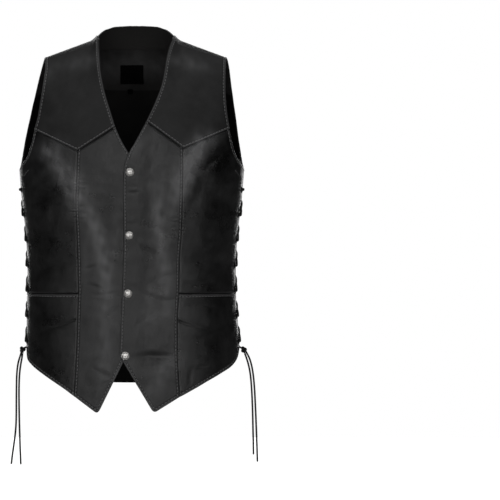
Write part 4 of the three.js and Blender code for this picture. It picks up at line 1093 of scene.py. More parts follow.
class Shader(Nodes):
    """A material's nodes."""

    def __init__(self, name):
        self.material = bpy.data.materials.new(name)
        self.material.use_nodes = True
        super().__init__(self.material.node_tree)
        self.main = self.tree.nodes["Principled BSDF"]
        self.coords = self.add("ShaderNodeTexCoord").outputs["Object"]

    def noise(self, size, detail=3.0, roughness=0.5, distortion=0.0):
        return self.add("ShaderNodeTexNoise", None, Vector=self.coords, Scale=1 / size, Detail=detail,
                        Roughness=roughness, Distortion=distortion).outputs["Fac"]

    def spread(self, value, low, high, to_low, to_high):
        """A value's range carried over to another range, and kept inside it."""
        return self.add("ShaderNodeMapRange", None, i0=value, i1=low, i2=high, i3=to_low,
                        i4=to_high).outputs["Result"]

    def math(self, operation, first, second=0.0):
        return self.add("ShaderNodeMath", {"operation": operation}, i0=first, i1=second).outputs[0]

    def blend(self, share, first, second):
        return self.add("ShaderNodeMix", {"data_type": "RGBA"}, i0=share, i6=(*first, 1),
                        i7=(*second, 1)).outputs[2]

    def set(self, **inputs):
        self.feed(self.main, **inputs)

    def bump(self, height, depth):
        bump = self.add("ShaderNodeBump", None, Height=height, Distance=depth, Strength=1.0)
        self.set(Normal=bump.outputs["Normal"])


def leather(name, colour, lighter_tone_and_sheen, rough, spread, grain, depth, crinkle):
    """Dyed leather: grain cells, fine pores and crinkles, uneven gloss, random tone, and a painted sheen that
    greys listed patches and lines along the edges.
    """
    shader = Shader(name)
    waver = shader.noise(grain * 4, 2.0)
    place = shader.add("ShaderNodeVectorMath", {"operation": "MULTIPLY_ADD"}, i0=waver,
                       i1=(grain * 0.9, grain * 0.9, grain * 0.9), i2=shader.coords).outputs[0]
    cells = shader.add("ShaderNodeTexVoronoi", {"feature": "DISTANCE_TO_EDGE"}, Vector=place,
                       Scale=1 / grain).outputs["Distance"]
    raised = shader.spread(cells, 0.0, 0.22, 0.0, 1.0)
    pores = shader.noise(grain * 0.35, 3.0, 0.6)
    folds = shader.noise(grain * 7, 4.0, 0.62, 0.8)
    height = shader.math("ADD", shader.math("MULTIPLY", raised, 0.55), shader.math("MULTIPLY", pores, 0.35))
    height = shader.math("ADD", height, shader.math("MULTIPLY", folds, crinkle))
    shader.bump(height, depth)
    patches = shader.noise(0.045, 4.0, 0.55, 0.3)
    streaks = shader.noise(0.012, 3.0, 0.6)
    uneven = shader.math("ADD", shader.math("MULTIPLY", patches, 0.7), shader.math("MULTIPLY", streaks, 0.3))
    gloss = shader.spread(uneven, 0.34, 0.66, rough - spread, rough + spread)
    # Painted sheen: the panel's attribute holds patches and edge lines made lighter where the light catches,
    # added to the random tone below
    scuff_and_sheen = shader.add("ShaderNodeAttribute", {"attribute_name": "wear"}).outputs["Fac"]
    tone = shader.math("ADD", shader.spread(uneven, 0.38, 0.66, 0.0, 0.11), scuff_and_sheen)
    gloss = shader.math("SUBTRACT", gloss, shader.math("MULTIPLY", scuff_and_sheen, 0.05))
    shader.set(Base_Color=shader.blend(tone, colour, lighter_tone_and_sheen), Roughness=gloss)
    shader.set(IOR=1.47)
    return shader.material


def plain_cloth(name, colour, light, rough, size, depth, ior):
    """Woven cloth in the piece's own flat measure: fine diagonal twill and a little unevenness."""
    shader = Shader(name)
    flat = shader.add("ShaderNodeUVMap", {"uv_map": "flat"}).outputs["UV"]
    slanted = shader.add("ShaderNodeMapping", None, Vector=flat, Rotation=(0, 0, 0.9)).outputs["Vector"]
    twill = shader.add("ShaderNodeTexWave", {"bands_direction": "X"}, Vector=slanted, Scale=0.3 / size,
                       Distortion=0.4, Detail=1.0).outputs["Fac"]
    uneven = shader.noise(0.02, 3.0)
    shader.bump(shader.math("ADD", twill, shader.math("MULTIPLY", uneven, 1.5)), depth)
    shader.set(Base_Color=shader.blend(shader.spread(uneven, 0.3, 0.7, 0.0, 1.0), colour, light),
               Roughness=shader.spread(twill, 0.0, 1.0, rough - 0.06, rough + 0.06))
    shader.set(IOR=ior)
    return shader.material


def suede(name, colour, light):
    """The flesh side: short uneven nap with no gloss."""
    shader = Shader(name)
    nap = shader.noise(0.0009, 4.0, 0.7)
    shader.bump(shader.math("ADD", nap, shader.noise(0.006, 3.0)), 0.00025)
    shader.set(Base_Color=shader.blend(shader.spread(nap, 0.3, 0.7, 0.0, 1.0), colour, light),
               Roughness=0.92)
    return shader.material


def thread(name, colour, light, size, rough):
    """Waxed thread or lace."""
    shader = Shader(name)
    strands = shader.noise(size, 2.0)
    shader.bump(strands, 0.00005)
    shader.set(Base_Color=shader.blend(strands, colour, light), Roughness=rough)
    return shader.material


def metal(name, colour, dull, rough, size, depth):
    """Metal with a lightly beaten, uneven finish."""
    shader = Shader(name)
    dents = shader.noise(size, 3.0, 0.5, 0.4)
    shader.bump(dents, depth)
    shader.set(Base_Color=shader.blend(shader.spread(dents, 0.32, 0.62, 1.0, 0.0), colour, dull),
               Roughness=shader.spread(dents, 0.3, 0.7, rough + 0.12, rough), Metallic=1.0)
    return shader.material


def enamel(name, colour, light):
    """Black enamelled eyelets, a little rubbed."""
    shader = Shader(name)
    scuff_and_sheen = shader.noise(0.0022, 3.0)
    shader.set(Base_Color=shader.blend(shader.spread(scuff_and_sheen, 0.55, 0.75, 0.0, 1.0), colour, light),
               Roughness=shader.spread(scuff_and_sheen, 0.3, 0.7, 0.26, 0.42))
    shader.bump(scuff_and_sheen, 0.00008)
    return shader.material


# Node trees that set a small piece at every point of a line or of a set of places


TREE_INPUTS = (
    ("Geometry", "Geometry", None), ("Template", "Object", None), ("Material", "Material", None),
    ("Pitch", "Float", 0.004), ("Turn", "Float", 0.05), ("Size spread", "Float", 0.05), ("Seed", "Int", 7),
)


def repeat_tree(name, along_lines):
    """Sets a template at each point: every pitch along lines, or at each vertex. Ends in real meshes."""
    tree = bpy.data.node_groups.new(name, "GeometryNodeTree")
    tree.interface.new_socket("Geometry", in_out="OUTPUT", socket_type="NodeSocketGeometry")
    for label, kind, default in TREE_INPUTS:
        socket = tree.interface.new_socket(label, in_out="INPUT", socket_type="NodeSocket" + kind)
        if default is not None:
            socket.default_value = default
    nodes, vectors = Nodes(tree), {"data_type": "FLOAT_VECTOR"}
    given = nodes.add("NodeGroupInput").outputs
    up = nodes.add("GeometryNodeInputNamedAttribute", vectors, Name="up").outputs["Attribute"]
    if along_lines:
        lines = nodes.add("GeometryNodeMeshToCurve", None, Mesh=given["Geometry"]).outputs["Curve"]
        places = nodes.add("GeometryNodeResampleCurve", {"mode": "LENGTH"}, Curve=lines,
                           Length=given["Pitch"]).outputs["Curve"]
        way = nodes.add("GeometryNodeInputTangent").outputs["Tangent"]
    else:
        places = given["Geometry"]
        way = nodes.add("GeometryNodeInputNamedAttribute", vectors, Name="way").outputs["Attribute"]
    turn = nodes.add("FunctionNodeAxesToRotation", {"primary_axis": "Z", "secondary_axis": "X"},
                     Primary_Axis=up, Secondary_Axis=way)
    down = nodes.add("ShaderNodeMath", {"operation": "MULTIPLY"}, i0=given["Turn"], i1=-1)
    loose = nodes.add("FunctionNodeRandomValue", vectors, i0=down.outputs[0], i1=given["Turn"],
                      Seed=given["Seed"])
    sway = nodes.add("FunctionNodeRotateRotation", {"rotation_space": "LOCAL"},
                     Rotation=turn.outputs["Rotation"], Rotate_By=loose.outputs[0])
    low, high = (nodes.add("ShaderNodeMath", {"operation": "MULTIPLY_ADD"}, i0=given["Size spread"], i1=sign,
                           i2=1).outputs[0] for sign in (-1, 1))
    size = nodes.add("FunctionNodeRandomValue", {"data_type": "FLOAT"}, i2=low, i3=high, Seed=given["Seed"])
    template = nodes.add("GeometryNodeObjectInfo", None, Object=given["Template"])
    set_down = nodes.add("GeometryNodeInstanceOnPoints", None, Points=places,
                         Instance=template.outputs["Geometry"], Rotation=sway.outputs["Rotation"],
                         Scale=size.outputs[1])
    real = nodes.add("GeometryNodeRealizeInstances", None, Geometry=set_down.outputs["Instances"])
    finished = nodes.add("GeometryNodeSetMaterial", None, Geometry=real.outputs["Geometry"],
                         Material=given["Material"])
    nodes.add("NodeGroupOutput", None, Geometry=finished.outputs["Geometry"])
    return tree


def baked(piece):
    """The piece with its modifiers worked into a plain mesh."""
    graph = bpy.context.evaluated_depsgraph_get()
    mesh = bpy.data.meshes.new_from_object(piece.evaluated_get(graph), preserve_all_data_layers=True,
                                           depsgraph=graph)
    piece.modifiers.clear()
    piece.data = mesh
    mesh.name = piece.name
    return piece


def repeated(name, lines, template, material, along_lines, **inputs):
    """A piece made of a template set along lines or places, given as (points, ups, ways)."""
    mesh = bpy.data.meshes.new(name)
    points = np.concatenate([line[0] for line in lines])
    edges, shift = [], 0
    for line in lines:
        if along_lines:
            edges.extend((k, k + 1) for k in range(shift, shift + len(line[0]) - 1))
        shift += len(line[0])
    mesh.from_pydata(points.tolist(), edges, [])
    for label, column in (("up", 1), ("way", 2)):
        values = np.concatenate([line[column] for line in lines]).astype(np.float32)
        mesh.attributes.new(label, "FLOAT_VECTOR", "POINT").data.foreach_set("vector", values.ravel())
    piece = bpy.data.objects.new(name, mesh)
    bpy.context.scene.collection.objects.link(piece)
    tree = repeat_tree(name + "_tree", along_lines)
    modifier = piece.modifiers.new("repeat", "NODES")
    modifier.node_group = tree
    named = {item.name: item.identifier for item in tree.interface.items_tree if item.in_out == "INPUT"}
    modifier[named["Template"]] = template
    modifier[named["Material"]] = material
    for label, value in inputs.items():
        modifier[named[label.replace("_", " ")]] = value
    baked(piece)
    piece.data.shade_smooth()
    bpy.data.objects.remove(template)
    return piece


def side_turned(values, edge):
    """A panel's values with the named edge as the first column."""
    values = values if edge in ("left", "right") else np.swapaxes(values, 0, 1)
    return values[:, ::-1] if edge in ("right", "bottom") else values


def stitch_lines(laid, edge):
    """Lines at each stitch distance from an edge, stopped short of what they run into."""
    found = []
    beside = ("top", "bottom") if edge in ("left", "right") else ("left", "right")
    near, plan = laid["near"], laid["plan"]
    distance, points, normal, heights = (
        side_turned(values, edge) for values in (near[edge], laid["outer"], laid["normal"], laid["z"]))
    stops = [(side_turned(near[other], edge), kinds_along(plan, other)) for other in beside]
    for kind, high, low in kinds_along(plan, edge):
        for at in EDGE_KINDS[kind]["stitches"]:
            reached = distance >= at
            k = reached.argmax(axis=1)
            rows = np.nonzero(reached.any(axis=1) & (k > 0))[0]
            k = k[rows]
            before, after = distance[rows, k - 1], distance[rows, k]
            share = ((at - before) / (after - before))[:, None]

            def mix(values):
                return values[rows, k - 1] * (1 - share) + values[rows, k] * share

            line, up = mix(points), mix(normal)
            z = mix(heights[..., None])[:, 0]
            keep = (z < high - 1) & (z > low + 1)
            for other, kinds in stops:
                margins = [EDGE_KINDS[name]["stitches"][:1] or (1.2,) for name, _, _ in kinds]
                keep &= mix(other[..., None])[:, 0] > min(margin[0] for margin in margins)
            order = np.nonzero(keep)[0]
            runs = np.split(order, np.nonzero(np.diff(rows[order]) > 1)[0] + 1)
            found.extend((line[run], up[run], up[run]) for run in runs if len(run) > 4)
    return found


# Settings


def colour_setting(name, description, colour):
    return FloatVectorProperty(name=name, description=description, subtype="COLOR", default=colour, min=0,
                               max=1)


def length_setting(name, description, length, low, high):
    return FloatProperty(name=name, description=description, unit="LENGTH", default=length, min=low, max=high)


def power_setting(name, description, power):
    return FloatProperty(name=name, description=description, unit="POWER", default=power, min=0)


class VestLeather(bpy.types.PropertyGroup):
    """Colours and grain of the leather."""

    yoke_colour: colour_setting("Yokes", "Dyed colour of the smooth yokes", (0.0035, 0.0035, 0.0036))
    front_colour: colour_setting("Centre fronts", "Dyed colour of the centre fronts",
                                 (0.0045, 0.0045, 0.0046))
    # Painted shade: the side panels are the fronts' leather, given a darker colour for the shade where they
    # turn away from the light
    side_colour: colour_setting("Sides", "Dyed colour of the side panels", (0.0010, 0.0010, 0.0010))
    back_colour: colour_setting("Back", "Dyed colour of the pebbled back", (0.017, 0.017, 0.0173))
    # Lighter colour that the random tone, the painted sheen patches and the painted edge highlights blend
    # towards
    tone_and_sheen_colour: colour_setting("Worn", "Colour where edges and ridges are rubbed", (0.11, 0.11, 0.112))
    front_grain: length_setting("Front grain", "Width of the fronts' grain cells", 0.0011, 0.0003, 0.005)
    back_grain: length_setting("Back grain", "Width of the pebbles on the back", 0.0023, 0.0003, 0.008)


class VestSewing(bpy.types.PropertyGroup):
    """Sizes of the stitches and eyelets."""

    stitch_length: length_setting("Stitch", "Length of a stitch that shows", 0.0040, 0.001, 0.01)
    stitch_pitch: length_setting("Pitch", "From one stitch to the next", 0.0060, 0.001, 0.02)
    thread_width: length_setting("Thread", "Width of the thread", 0.0011, 0.0002, 0.002)
    eyelet_rim: length_setting("Eyelet rim", "Radius of an eyelet's rolled rim", 0.0048, 0.003, 0.008)


class VestStage(bpy.types.PropertyGroup):
    """Camera, floor and light."""

    camera_place: FloatVectorProperty(
        name="Camera", description="Place of the camera, in front of the vest", subtype="TRANSLATION",
        unit="LENGTH", default=(0.203, -18.0, 0.0617))
    camera_dip: FloatProperty(
        name="Dip", description="How far the camera looks down", subtype="ANGLE",
        default=math.radians(1.3))
    lens: FloatProperty(
        name="Lens", description="Focal length in millimetres", default=751.4, min=20, max=2000)
    floor_height: FloatProperty(
        name="Floor", description="Height of the pale floor", unit="LENGTH", default=-0.80)
    front_power: power_setting("Front light", "Power of the softboxes in front", 42)
    back_power: power_setting("Back light", "Power of the softboxes behind", 54)
    top_power: power_setting("Top light", "Power of the softbox above", 26)


GROUPS = {"vest_leather": VestLeather, "vest_sewing": VestSewing, "vest_stage": VestStage}


# Leathers: colour or its setting, roughness, spread of it, grain cell or its setting, depth, crinkles
LEATHERS = {
    "yoke": ("yoke_colour", 0.72, 0.05, 0.0010, 0.00006, 0.1),
    "front": ("front_colour", 0.38, 0.12, "front_grain", 0.00016, 0.14),
    # The side panels take the darker colour that paints their shade
    "side": ("side_colour", 0.31, 0.06, "front_grain", 0.00014, 0.1),
    "back": ("back_colour", 0.46, 0.08, "back_grain", 0.00030, 0.7),
    "facing": ((0.0020, 0.0014, 0.0011), 0.85, 0.05, 0.0012, 0.0001, 0.4),
}

# Other finishes: how each is made, name, its two colours, and what its own function takes after them
FINISHES = {
    "flesh": (suede, "Flesh_side", (0.006, 0.0055, 0.005), (0.014, 0.013, 0.012)),
    "lining": (plain_cloth, "Lining_cloth", (0.0012, 0.0011, 0.001), (0.0022, 0.002, 0.0018), 0.7, 0.0007,
               0.00008, 1.3),
    "label": (plain_cloth, "Label_cloth", (0.0005, 0.0005, 0.0005), (0.001, 0.001, 0.001), 0.85, 0.0006,
              0.00008, 1.15),
    # Painted sheen: the black thread is given a grey colour for the light that its sheen catches
    "thread": (thread, "Black_thread", (0.13, 0.13, 0.132), (0.22, 0.22, 0.222), 0.0006, 0.45),
    "snap": (metal, "Snap_nickel", (0.62, 0.61, 0.59), (0.26, 0.25, 0.24), 0.30, 0.0021, 0.0003),
    "eyelet": (enamel, "Eyelet_enamel", (0.006, 0.006, 0.006), (0.05, 0.05, 0.05)),
    "lace": (thread, "Lace_leather", (0.0015, 0.0015, 0.0015), (0.003, 0.003, 0.003), 0.004, 0.6),
}


@functools.cache
def finish(name):
    """The material of a finish, made once from the settings."""
    if name in FINISHES:
        make, *values = FINISHES[name]
        return make(*values)
    tone = bpy.context.scene.vest_leather
    colour, rough, spread, grain, depth, crinkle = (
        getattr(tone, value) if isinstance(value, str) else value for value in LEATHERS[name])
    return leather(name.capitalize() + "_leather", tuple(colour), tuple(tone.tone_and_sheen_colour), rough, spread,
                   grain, depth, crinkle)


def settle(piece, slot, *nodes):
    """The piece rides on the vest's one body and stands for its nodes, which are hidden; the slot is not
    used.
    """
    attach(piece, "root")
    if nodes:
        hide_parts(*nodes)


def cut_of(name):
    """Width, length and area of what a node's sheet was cut to, the same on both sides."""
    return CUTS[name.removesuffix("_right").removesuffix("_left")]


def leather_piece(name, look, slot):
    piece = shell(name + "_shell", panel(name), [finish(look), finish("flesh")])
    if "side" in name:
        cut_eyelet_holes(piece, name)
    settle(piece, slot, name)


def eyelet_places(side, hand):
    """Where the eyelets of one laced edge stand: points, normals and the way down."""
    points, ups, ways = [], [], []
    for row in range(EYELET_ROWS):
        z = EYELET_FIRST - row * EYELET_PITCH
        point, up = wall_place(side, side_spot(side, hand, LACE_EYE, z), 0)
        points.append(point)
        ups.append(up)
        ways.append((0, 0, -1))
    return np.array(points), np.array(ups), np.array(ways, float)


def cut_eyelet_holes(piece, name):
    side, hand = ("back" if name.startswith("back") else "front"), HANDS[name.rpartition("_")[2]]
    points, ups, _ = eyelet_places(side, hand)
    hole, reach, last = EYELET_HOLE * MM, HOLE_REACH * MM, 2 * HOLE_SIDES
    ring, _ = lathe_parts([(hole, -reach), (hole, reach)], HOLE_SIDES)
    faces = [(j, (j + 2) % last, (j + 3) % last, j + 1) for j in range(0, last, 2)]
    faces += [tuple(range(0, last, 2)), tuple(range(last - 1, 0, -2))]
    drill = listed_piece("drill", [(stood(ring, point, up), faces) for point, up in zip(points, ups)], [])
    cut = piece.modifiers.new("holes", "BOOLEAN")
    cut.operation, cut.solver, cut.object = "DIFFERENCE", "MANIFOLD", drill
    baked(piece)
    bpy.data.objects.remove(drill)


def lace_place(hand, from_side, z, out):
    """A point on the laced side, this far in front of or behind the side line."""
    side = "front" if from_side < 0 else "back"
    where = side_spot(side, hand, max(0.01, abs(from_side)), float(z))
    return form_at(side, where) + normal_at(side, where) * out


def strand(hand, first_face, cross_out):
    points, face = [], first_face
    for row in range(EYELET_ROWS):
        top = EYELET_FIRST - row * EYELET_PITCH
        for from_side, share, out in (LAST_CROSSING if row == EYELET_ROWS - 1 else CROSSING):
            lift = out + cross_out if from_side == 0 else out
            points.append(lace_place(hand, face * from_side, top - share * EYELET_PITCH, lift))
        face = -face
    return points


def lacing_route(hand):
    bar = [lace_place(hand, share * LACE_NEAR_EYE, EYELET_FIRST + TOP_BAR["rise"],
                      TOP_BAR["middle"] if share == 0 else TOP_BAR["eye"]) for share in (-1, 0, 1)]
    return smooth_line([*strand(hand, -1, LACE_CROSS)[::-1], *bar, *strand(hand, 1, -LACE_CROSS)]) * MM


def lace_parts(route):
    return tube_parts(route, LACE_RADIUS * MM, LACE_SIDES)


# Operators


class VestOperator:
    """What the operators share: each makes its pieces once."""

    bl_options = {"REGISTER", "UNDO"}

    def execute(self, context):
        self.make(context.scene)
        return {"FINISHED"}


def pieces_of(names, look, slot):
    for name in names:
        leather_piece(name, look, slot)


class VEST_OT_stage(VestOperator, bpy.types.Operator):
    """Set up the camera, the pale floor and the soft lights"""

    bl_idname = "vest.stage"
    bl_label = "Camera and stage"

    def make(self, scene):
        stage = scene.vest_stage
        camera_data = bpy.data.cameras.new("Camera")
        camera_data.lens = stage.lens
        camera = bpy.data.objects.new("Camera", camera_data)
        camera.location = stage.camera_place
        camera.rotation_euler = (math.pi / 2 - stage.camera_dip, 0, 0)
        scene.collection.objects.link(camera)
        scene.camera = camera
        scene.view_settings.view_transform = "Standard"
        self.make_floor(scene, stage.floor_height)
        self.make_world(scene)
        middle = (CAD_LOW + CAD_HIGH) / 2
        powers = {"front": stage.front_power, "back": stage.back_power, "top": stage.top_power}
        for name, group, around, up, away, width, height, share in SOFTBOXES:
            turn, rise = math.radians(around), math.radians(up)
            way = Vector((math.sin(turn) * math.cos(rise), -math.cos(turn) * math.cos(rise), math.sin(rise)))
            lamp = bpy.data.lights.new(name, "AREA")
            lamp.shape, lamp.size, lamp.size_y = "RECTANGLE", width, height
            lamp.energy = powers[group] * share
            light = bpy.data.objects.new(name, lamp)
            light.location = middle + way * away
            light.rotation_euler = (-way).to_track_quat("-Z", "Y").to_euler()
            light.visible_camera = False
            scene.collection.objects.link(light)

    def make_floor(self, scene, height):
        turn = np.linspace(0, 2 * math.pi, FLOOR_SIDES + 1)[:-1]
        rim = np.stack([FLOOR_RADIUS * np.cos(turn), FLOOR_RADIUS * np.sin(turn),
                        np.full(FLOOR_SIDES, height)], -1)
        mesh = bpy.data.meshes.new("Floor")
        mesh.from_pydata(rim.tolist(), [], [tuple(range(FLOOR_SIDES))])
        floor = bpy.data.objects.new("Floor", mesh)
        scene.collection.objects.link(floor)
        shader = Shader("Pale_floor")
        seen = shader.add("ShaderNodeLightPath").outputs["Is Camera Ray"]
        shader.set(Base_Color=(0.5, 0.5, 0.5, 1), Roughness=0.8, Emission_Color=(1, 1, 1, 1),
                   Emission_Strength=shader.math("MULTIPLY", seen, 0.95))
        mesh.materials.append(shader.material)

    def make_world(self, scene):
        world = bpy.data.worlds.new("Studio")
        world.use_nodes = True
        scene.world = world
        nodes, link = world.node_tree.nodes, world.node_tree.links.new
        nodes["Background"].inputs["Color"].default_value = (0.02, 0.02, 0.02, 1)
        pale = nodes.new("ShaderNodeBackground")
        pale.inputs["Color"].default_value = (1, 1, 1, 1)
        mix, path = nodes.new("ShaderNodeMixShader"), nodes.new("ShaderNodeLightPath")
        link(path.outputs["Is Camera Ray"], mix.inputs["Fac"])
        link(nodes["Background"].outputs["Background"], mix.inputs[1])
        link(pale.outputs["Background"], mix.inputs[2])
        link(mix.outputs["Shader"], nodes["World Output"].inputs["Surface"])


class VEST_OT_lace_ends(VestOperator, bpy.types.Operator):
    """Hang the four free ends of the side laces"""

    bl_idname = "vest.lace_ends"
    bl_label = "Lace ends"

    def make(self, scene):
        for name, points in LACE_ENDS.items():
            route = smooth_line(points, 6)
            piece = listed_piece(name + "_lace", [lace_parts(route)], [finish("lace")])
            settle(piece, "lace", name)


class VEST_OT_yokes(VestOperator, bpy.types.Operator):
    """Lay the two smooth pointed yokes"""

    bl_idname = "vest.yokes"
    bl_label = "Yokes"

    def make(self, scene):
        pieces_of(["yoke_right", "yoke_left"], "yoke", "yoke_leather")


class VEST_OT_front_centers(VestOperator, bpy.types.Operator):
    """Lay the two centre fronts down to their points"""

    bl_idname = "vest.front_centers"
    bl_label = "Centre fronts"

    def make(self, scene):
        for wearer in HANDS:
            leather_piece(f"front_center_{wearer}", "front", "front_leather")


class VEST_OT_front_sides(VestOperator, bpy.types.Operator):
    """Lay the side fronts above and below the pockets"""

    bl_idname = "vest.front_sides"
    bl_label = "Side fronts"

    def make(self, scene):
        for wearer in HANDS:
            for part in ("upper", "lower"):
                leather_piece(f"front_side_{part}_{wearer}", "side", "side_leather")


class VEST_OT_back(VestOperator, bpy.types.Operator):
    """Lay the pebbled middle of the back"""

    bl_idname = "vest.back"
    bl_label = "Back"

    def make(self, scene):
        leather_piece("back_center", "back", "back_leather")


class VEST_OT_back_sides(VestOperator, bpy.types.Operator):
    """Lay the back's laced side panels"""

    bl_idname = "vest.back_sides"
    bl_label = "Back sides"

    def make(self, scene):
        pieces_of(["back_side_right", "back_side_left"], "back", "side_leather")


class VEST_OT_linings(VestOperator, bpy.types.Operator):
    """Sew the facing and the linings inside the back"""

    bl_idname = "vest.linings"
    bl_label = "Facing and linings"

    def make(self, scene):
        rows, whole = CELLS["armhole_rows"] + CELLS["back_rows"], (0, 1)
        facing_span = whole, (FACING_FROM / rows, FACING_TO / rows)
        lining_span = whole, (FACING_TO / rows, 1)
        side_span = (LINING_FROM_LACES / CELLS["back_side"], 1), whole
        for name, behind, span, look, slot in (
                ("back_facing", "back_center", facing_span, "facing", "facing_leather"),
                ("back_lining", "back_center", lining_span, "lining", "lining"),
                ("lining_side_right", "back_side_right", side_span, "lining", "lining"),
                ("lining_side_left", "back_side_left", side_span, "lining", "lining")):
            laid = lay_panel("back", back_lines()[behind], PANELS["inside"], LINING_WALL, out=-LINING_DEPTH,
                             span=span)
            piece = shell(name + "_sheet", laid, [finish(look)])
            settle(piece, slot, name)
            width, length, area = cut_of(name)


class VEST_OT_patches(VestOperator, bpy.types.Operator):
    """Sew the bare label and the bare tab inside the back neck"""

    bl_idname = "vest.patches"
    bl_label = "Label and tab places"

    def make(self, scene):
        for name, patch in (("label_patch", LABEL_PATCH), ("size_tab", SIZE_TAB)):
            across = patch["x"] + patch["width"] * np.linspace(-0.5, 0.5, 2 * DENSE + 1)
            down = patch["z"] + patch["height"] * np.linspace(0.5, -0.5, 2 * DENSE + 1)
            low, high = np.full_like(across, down[-1]), np.full_like(across, down[0])
            left, right = np.full_like(down, across[0]), np.full_like(down, across[-1])
            outline = (spot("back", across, high), spot("back", across, low), spot("back", left, down),
                       spot("back", right, down))
            plan = dict(PANELS["inside"], cell=PATCH_CELL)
            laid = lay_panel("back", outline, plan, PATCH_WALL, out=-PATCH_DEPTH)
            piece = shell(name + "_cloth", laid, [finish("label")])
            settle(piece, "label", name)
            width, length = patch["width"] * MM, patch["height"] * MM
            min(width, length) > LEAST_SHEET


class VEST_OT_snaps(VestOperator, bpy.types.Operator):
    """Set the four domed snap caps"""

    bl_idname = "vest.snaps"
    bl_label = "Snaps"

    def make(self, scene):
        radius, inside = SNAP_ROLL["radius"], SNAP_ROLL["inside"]
        dome = [(SNAP_DOME["radius"] * math.cos(t), SNAP_DOME["foot"] + SNAP_DOME["rise"] * math.sin(t))
                for t in np.linspace(0.12, math.pi / 2, 12)]
        rolled = [(SNAP_ROLL["middle"] + radius * math.cos(t), radius + radius * math.sin(t))
                  for t in np.linspace(-1.5, 0.9, 9)]
        outline = [(0.001, 0.0), (inside, 0.0), *rolled, (inside, SNAP_ROLL["dip"]), *dome[1:-1],
                   (0.001, SNAP_DOME["top"])]
        for index, (x, z) in enumerate(SNAP_PLACES):
            ring, faces = lathe_parts(outline, SNAP_SIDES)
            beaten = unevenness(ring[:, 0], ring[:, 1], SNAP_BEATEN["size"], 40 + index)
            on_dome = np.hypot(ring[:, 0], ring[:, 1]) < SNAP_BEATEN["reach"]
            ring[:, 2] += SNAP_BEATEN["depth"] * beaten * on_dome * (ring[:, 2] > SNAP_BEATEN["above"])
            point, up = wall_place("front", spot("front", x, z), OVERLAP_RISE + SNAP_LIFT - 0.1)
            piece = listed_piece(f"snap_{index + 1}", [(stood(ring * MM, point, up), faces)],
                                 [finish("snap")], smooth=60)
            settle(piece, "snap_metal", f"snap_cap_{index + 1}")


class VEST_OT_eyelets(VestOperator, bpy.types.Operator):
    """Set the 28 black eyelets along the laced edges"""

    bl_idname = "vest.eyelets"
    bl_label = "Eyelets"

    def make(self, scene):
        rim = scene.vest_sewing.eyelet_rim / MM
        bore, outside, nodes, lines = EYELET_BORE, EYELET_BORE + EYELET_WALL, [], []
        outline = [(bore, -EYELET_DEPTH), (outside, -EYELET_DEPTH), (outside, 0.0), (rim - 0.1, 0.05),
                   (rim, 0.3), (rim - 0.35, 0.72), (rim - 0.9, 0.98), (rim - 1.5, 0.92),
                   (bore + 0.25, 0.55), (bore, 0.1)]
        ring, faces = lathe_parts(outline, EYELET_SIDES)
        template = listed_piece("eyelet_template", [(ring * MM, faces)], [], smooth=60)
        for side in ("front", "back"):
            for wearer, hand in HANDS.items():
                points, ups, ways = eyelet_places(side, hand)
                lines.append((points + ups * EYELET_LIFT * MM, ups, ways))
                nodes += [f"eyelet_{side}_{wearer}_{row + 1}" for row in range(EYELET_ROWS)]
        piece = repeated("eyelets", lines, template, finish("eyelet"), False, Turn=0.0, Size_spread=0.0)
        settle(piece, "eyelet_metal", *nodes)


class VEST_OT_lacing(VestOperator, bpy.types.Operator):
    """Lace up both sides and tie the knots"""

    bl_idname = "vest.lacing"
    bl_label = "Lacing and knots"

    def make(self, scene):
        for wearer, hand in HANDS.items():
            route = lacing_route(hand)
            piece = listed_piece(f"lacing_{wearer}_lace", [lace_parts(route)], [finish("lace")])
            settle(piece, "lace", f"lacing_{wearer}")
            height = EYELET_FIRST - (EYELET_ROWS - 1) * EYELET_PITCH - KNOT_DROP
            middle = lace_place(hand, 0, height, KNOT_OUT) * MM
            turn = np.linspace(0, 2 * math.pi, KNOT_STEPS + 1)
            loops = np.stack([np.cos(turn) + 2 * np.cos(2 * turn), -KNOT_DEPTH * np.sin(3 * turn),
                              np.sin(turn) - 2 * np.sin(2 * turn)], -1) * KNOT_SIZE * MM
            parts = [tube_parts(middle + loops, KNOT_RADIUS * MM, KNOT_SIDES)]
            free = [LACE_ENDS[f"lace_end_{wearer}_{end}"] for end in ("outer", "inner")]
            for end, lead in ((route[0], route[4]), (route[-1], route[-5]), *(line[:2] for line in free)):
                away = np.subtract(end, lead) / np.linalg.norm(np.subtract(end, lead))
                face = end + away * KNOT_GAP * MM
                link = smooth_line([face, face + away * KNOT_LEAD * MM, middle + (face - middle) * 0.3,
                                    middle], 6)
                parts.append(lace_parts(link))
            knot = listed_piece(f"knot_{wearer}_lace", parts, [finish("lace")])
            settle(knot, "lace", f"knot_{wearer}")


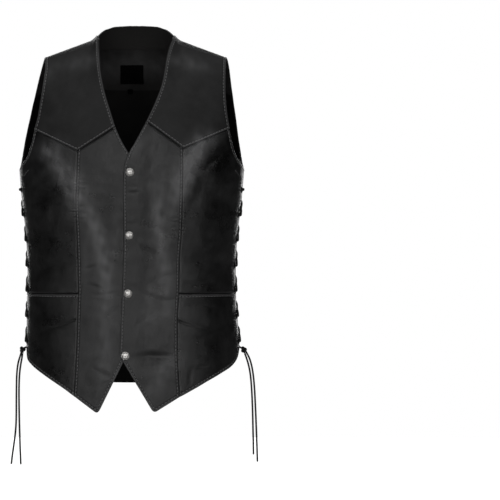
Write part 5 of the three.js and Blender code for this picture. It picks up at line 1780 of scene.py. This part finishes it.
class VEST_OT_stitching(VestOperator, bpy.types.Operator):
    """Sew the stitch lines that show along edges and seams"""

    bl_idname = "vest.stitching"
    bl_label = "Stitching"

    def make(self, scene):
        sewing = scene.vest_sewing
        for group, names in STITCHED.items():
            lines = []
            for name in names:
                laid = panel(name)
                for edge in ("top", "bottom", "left", "right"):
                    lines += stitch_lines(laid, edge)
            template = self.make_stitch(sewing.stitch_length, sewing.thread_width)
            piece = repeated(group, lines, template, finish("thread"), True, Pitch=sewing.stitch_pitch,
                             Turn=0.05, Size_spread=0.05, Seed=3)
            settle(piece, "lace")

    def make_stitch(self, length, width):
        """One stitch: it rises from its hole, runs along the leather and goes down again."""
        share = np.array([-0.5, -0.4, 0.0, 0.4, 0.5])
        rise = np.array([-0.9, 0.05, 0.30, 0.05, -0.9]) * width
        route = np.stack([share * length, np.zeros(5), rise], -1)
        return listed_piece("stitch_template", [tube_parts(route, width / 2, 6, 0.85)], [], smooth=80)


STEPS = (VEST_OT_stage, VEST_OT_lace_ends, VEST_OT_yokes, VEST_OT_front_centers, VEST_OT_front_sides,
         VEST_OT_back, VEST_OT_back_sides, VEST_OT_linings, VEST_OT_patches, VEST_OT_snaps,
         VEST_OT_eyelets, VEST_OT_lacing, VEST_OT_stitching)


class VEST_PT_sidebar(bpy.types.Panel):
    """The vest's steps and settings"""

    bl_idname = "VEST_PT_sidebar"
    bl_label = "Leather vest"
    bl_space_type = "VIEW_3D"
    bl_region_type = "UI"
    bl_category = "Vest"

    def draw(self, context):
        for name, group in GROUPS.items():
            box = self.layout.box()
            for key in group.__annotations__:
                box.prop(getattr(context.scene, name), key)
        for step in STEPS:
            self.layout.operator(step.bl_idname)


def register():
    for kind in (*GROUPS.values(), *STEPS, VEST_PT_sidebar):
        bpy.utils.register_class(kind)
    for name, group in GROUPS.items():
        setattr(bpy.types.Scene, name, PointerProperty(type=group))


def unregister():
    for name in GROUPS:
        delattr(bpy.types.Scene, name)
    for kind in (VEST_PT_sidebar, *reversed(STEPS), *reversed(GROUPS.values())):
        bpy.utils.unregister_class(kind)


def main():
    register()
    for step in STEPS:
        area, _, name = step.bl_idname.partition(".")
        getattr(getattr(bpy.ops, area), name)()


if __name__ == "__main__":
    main()
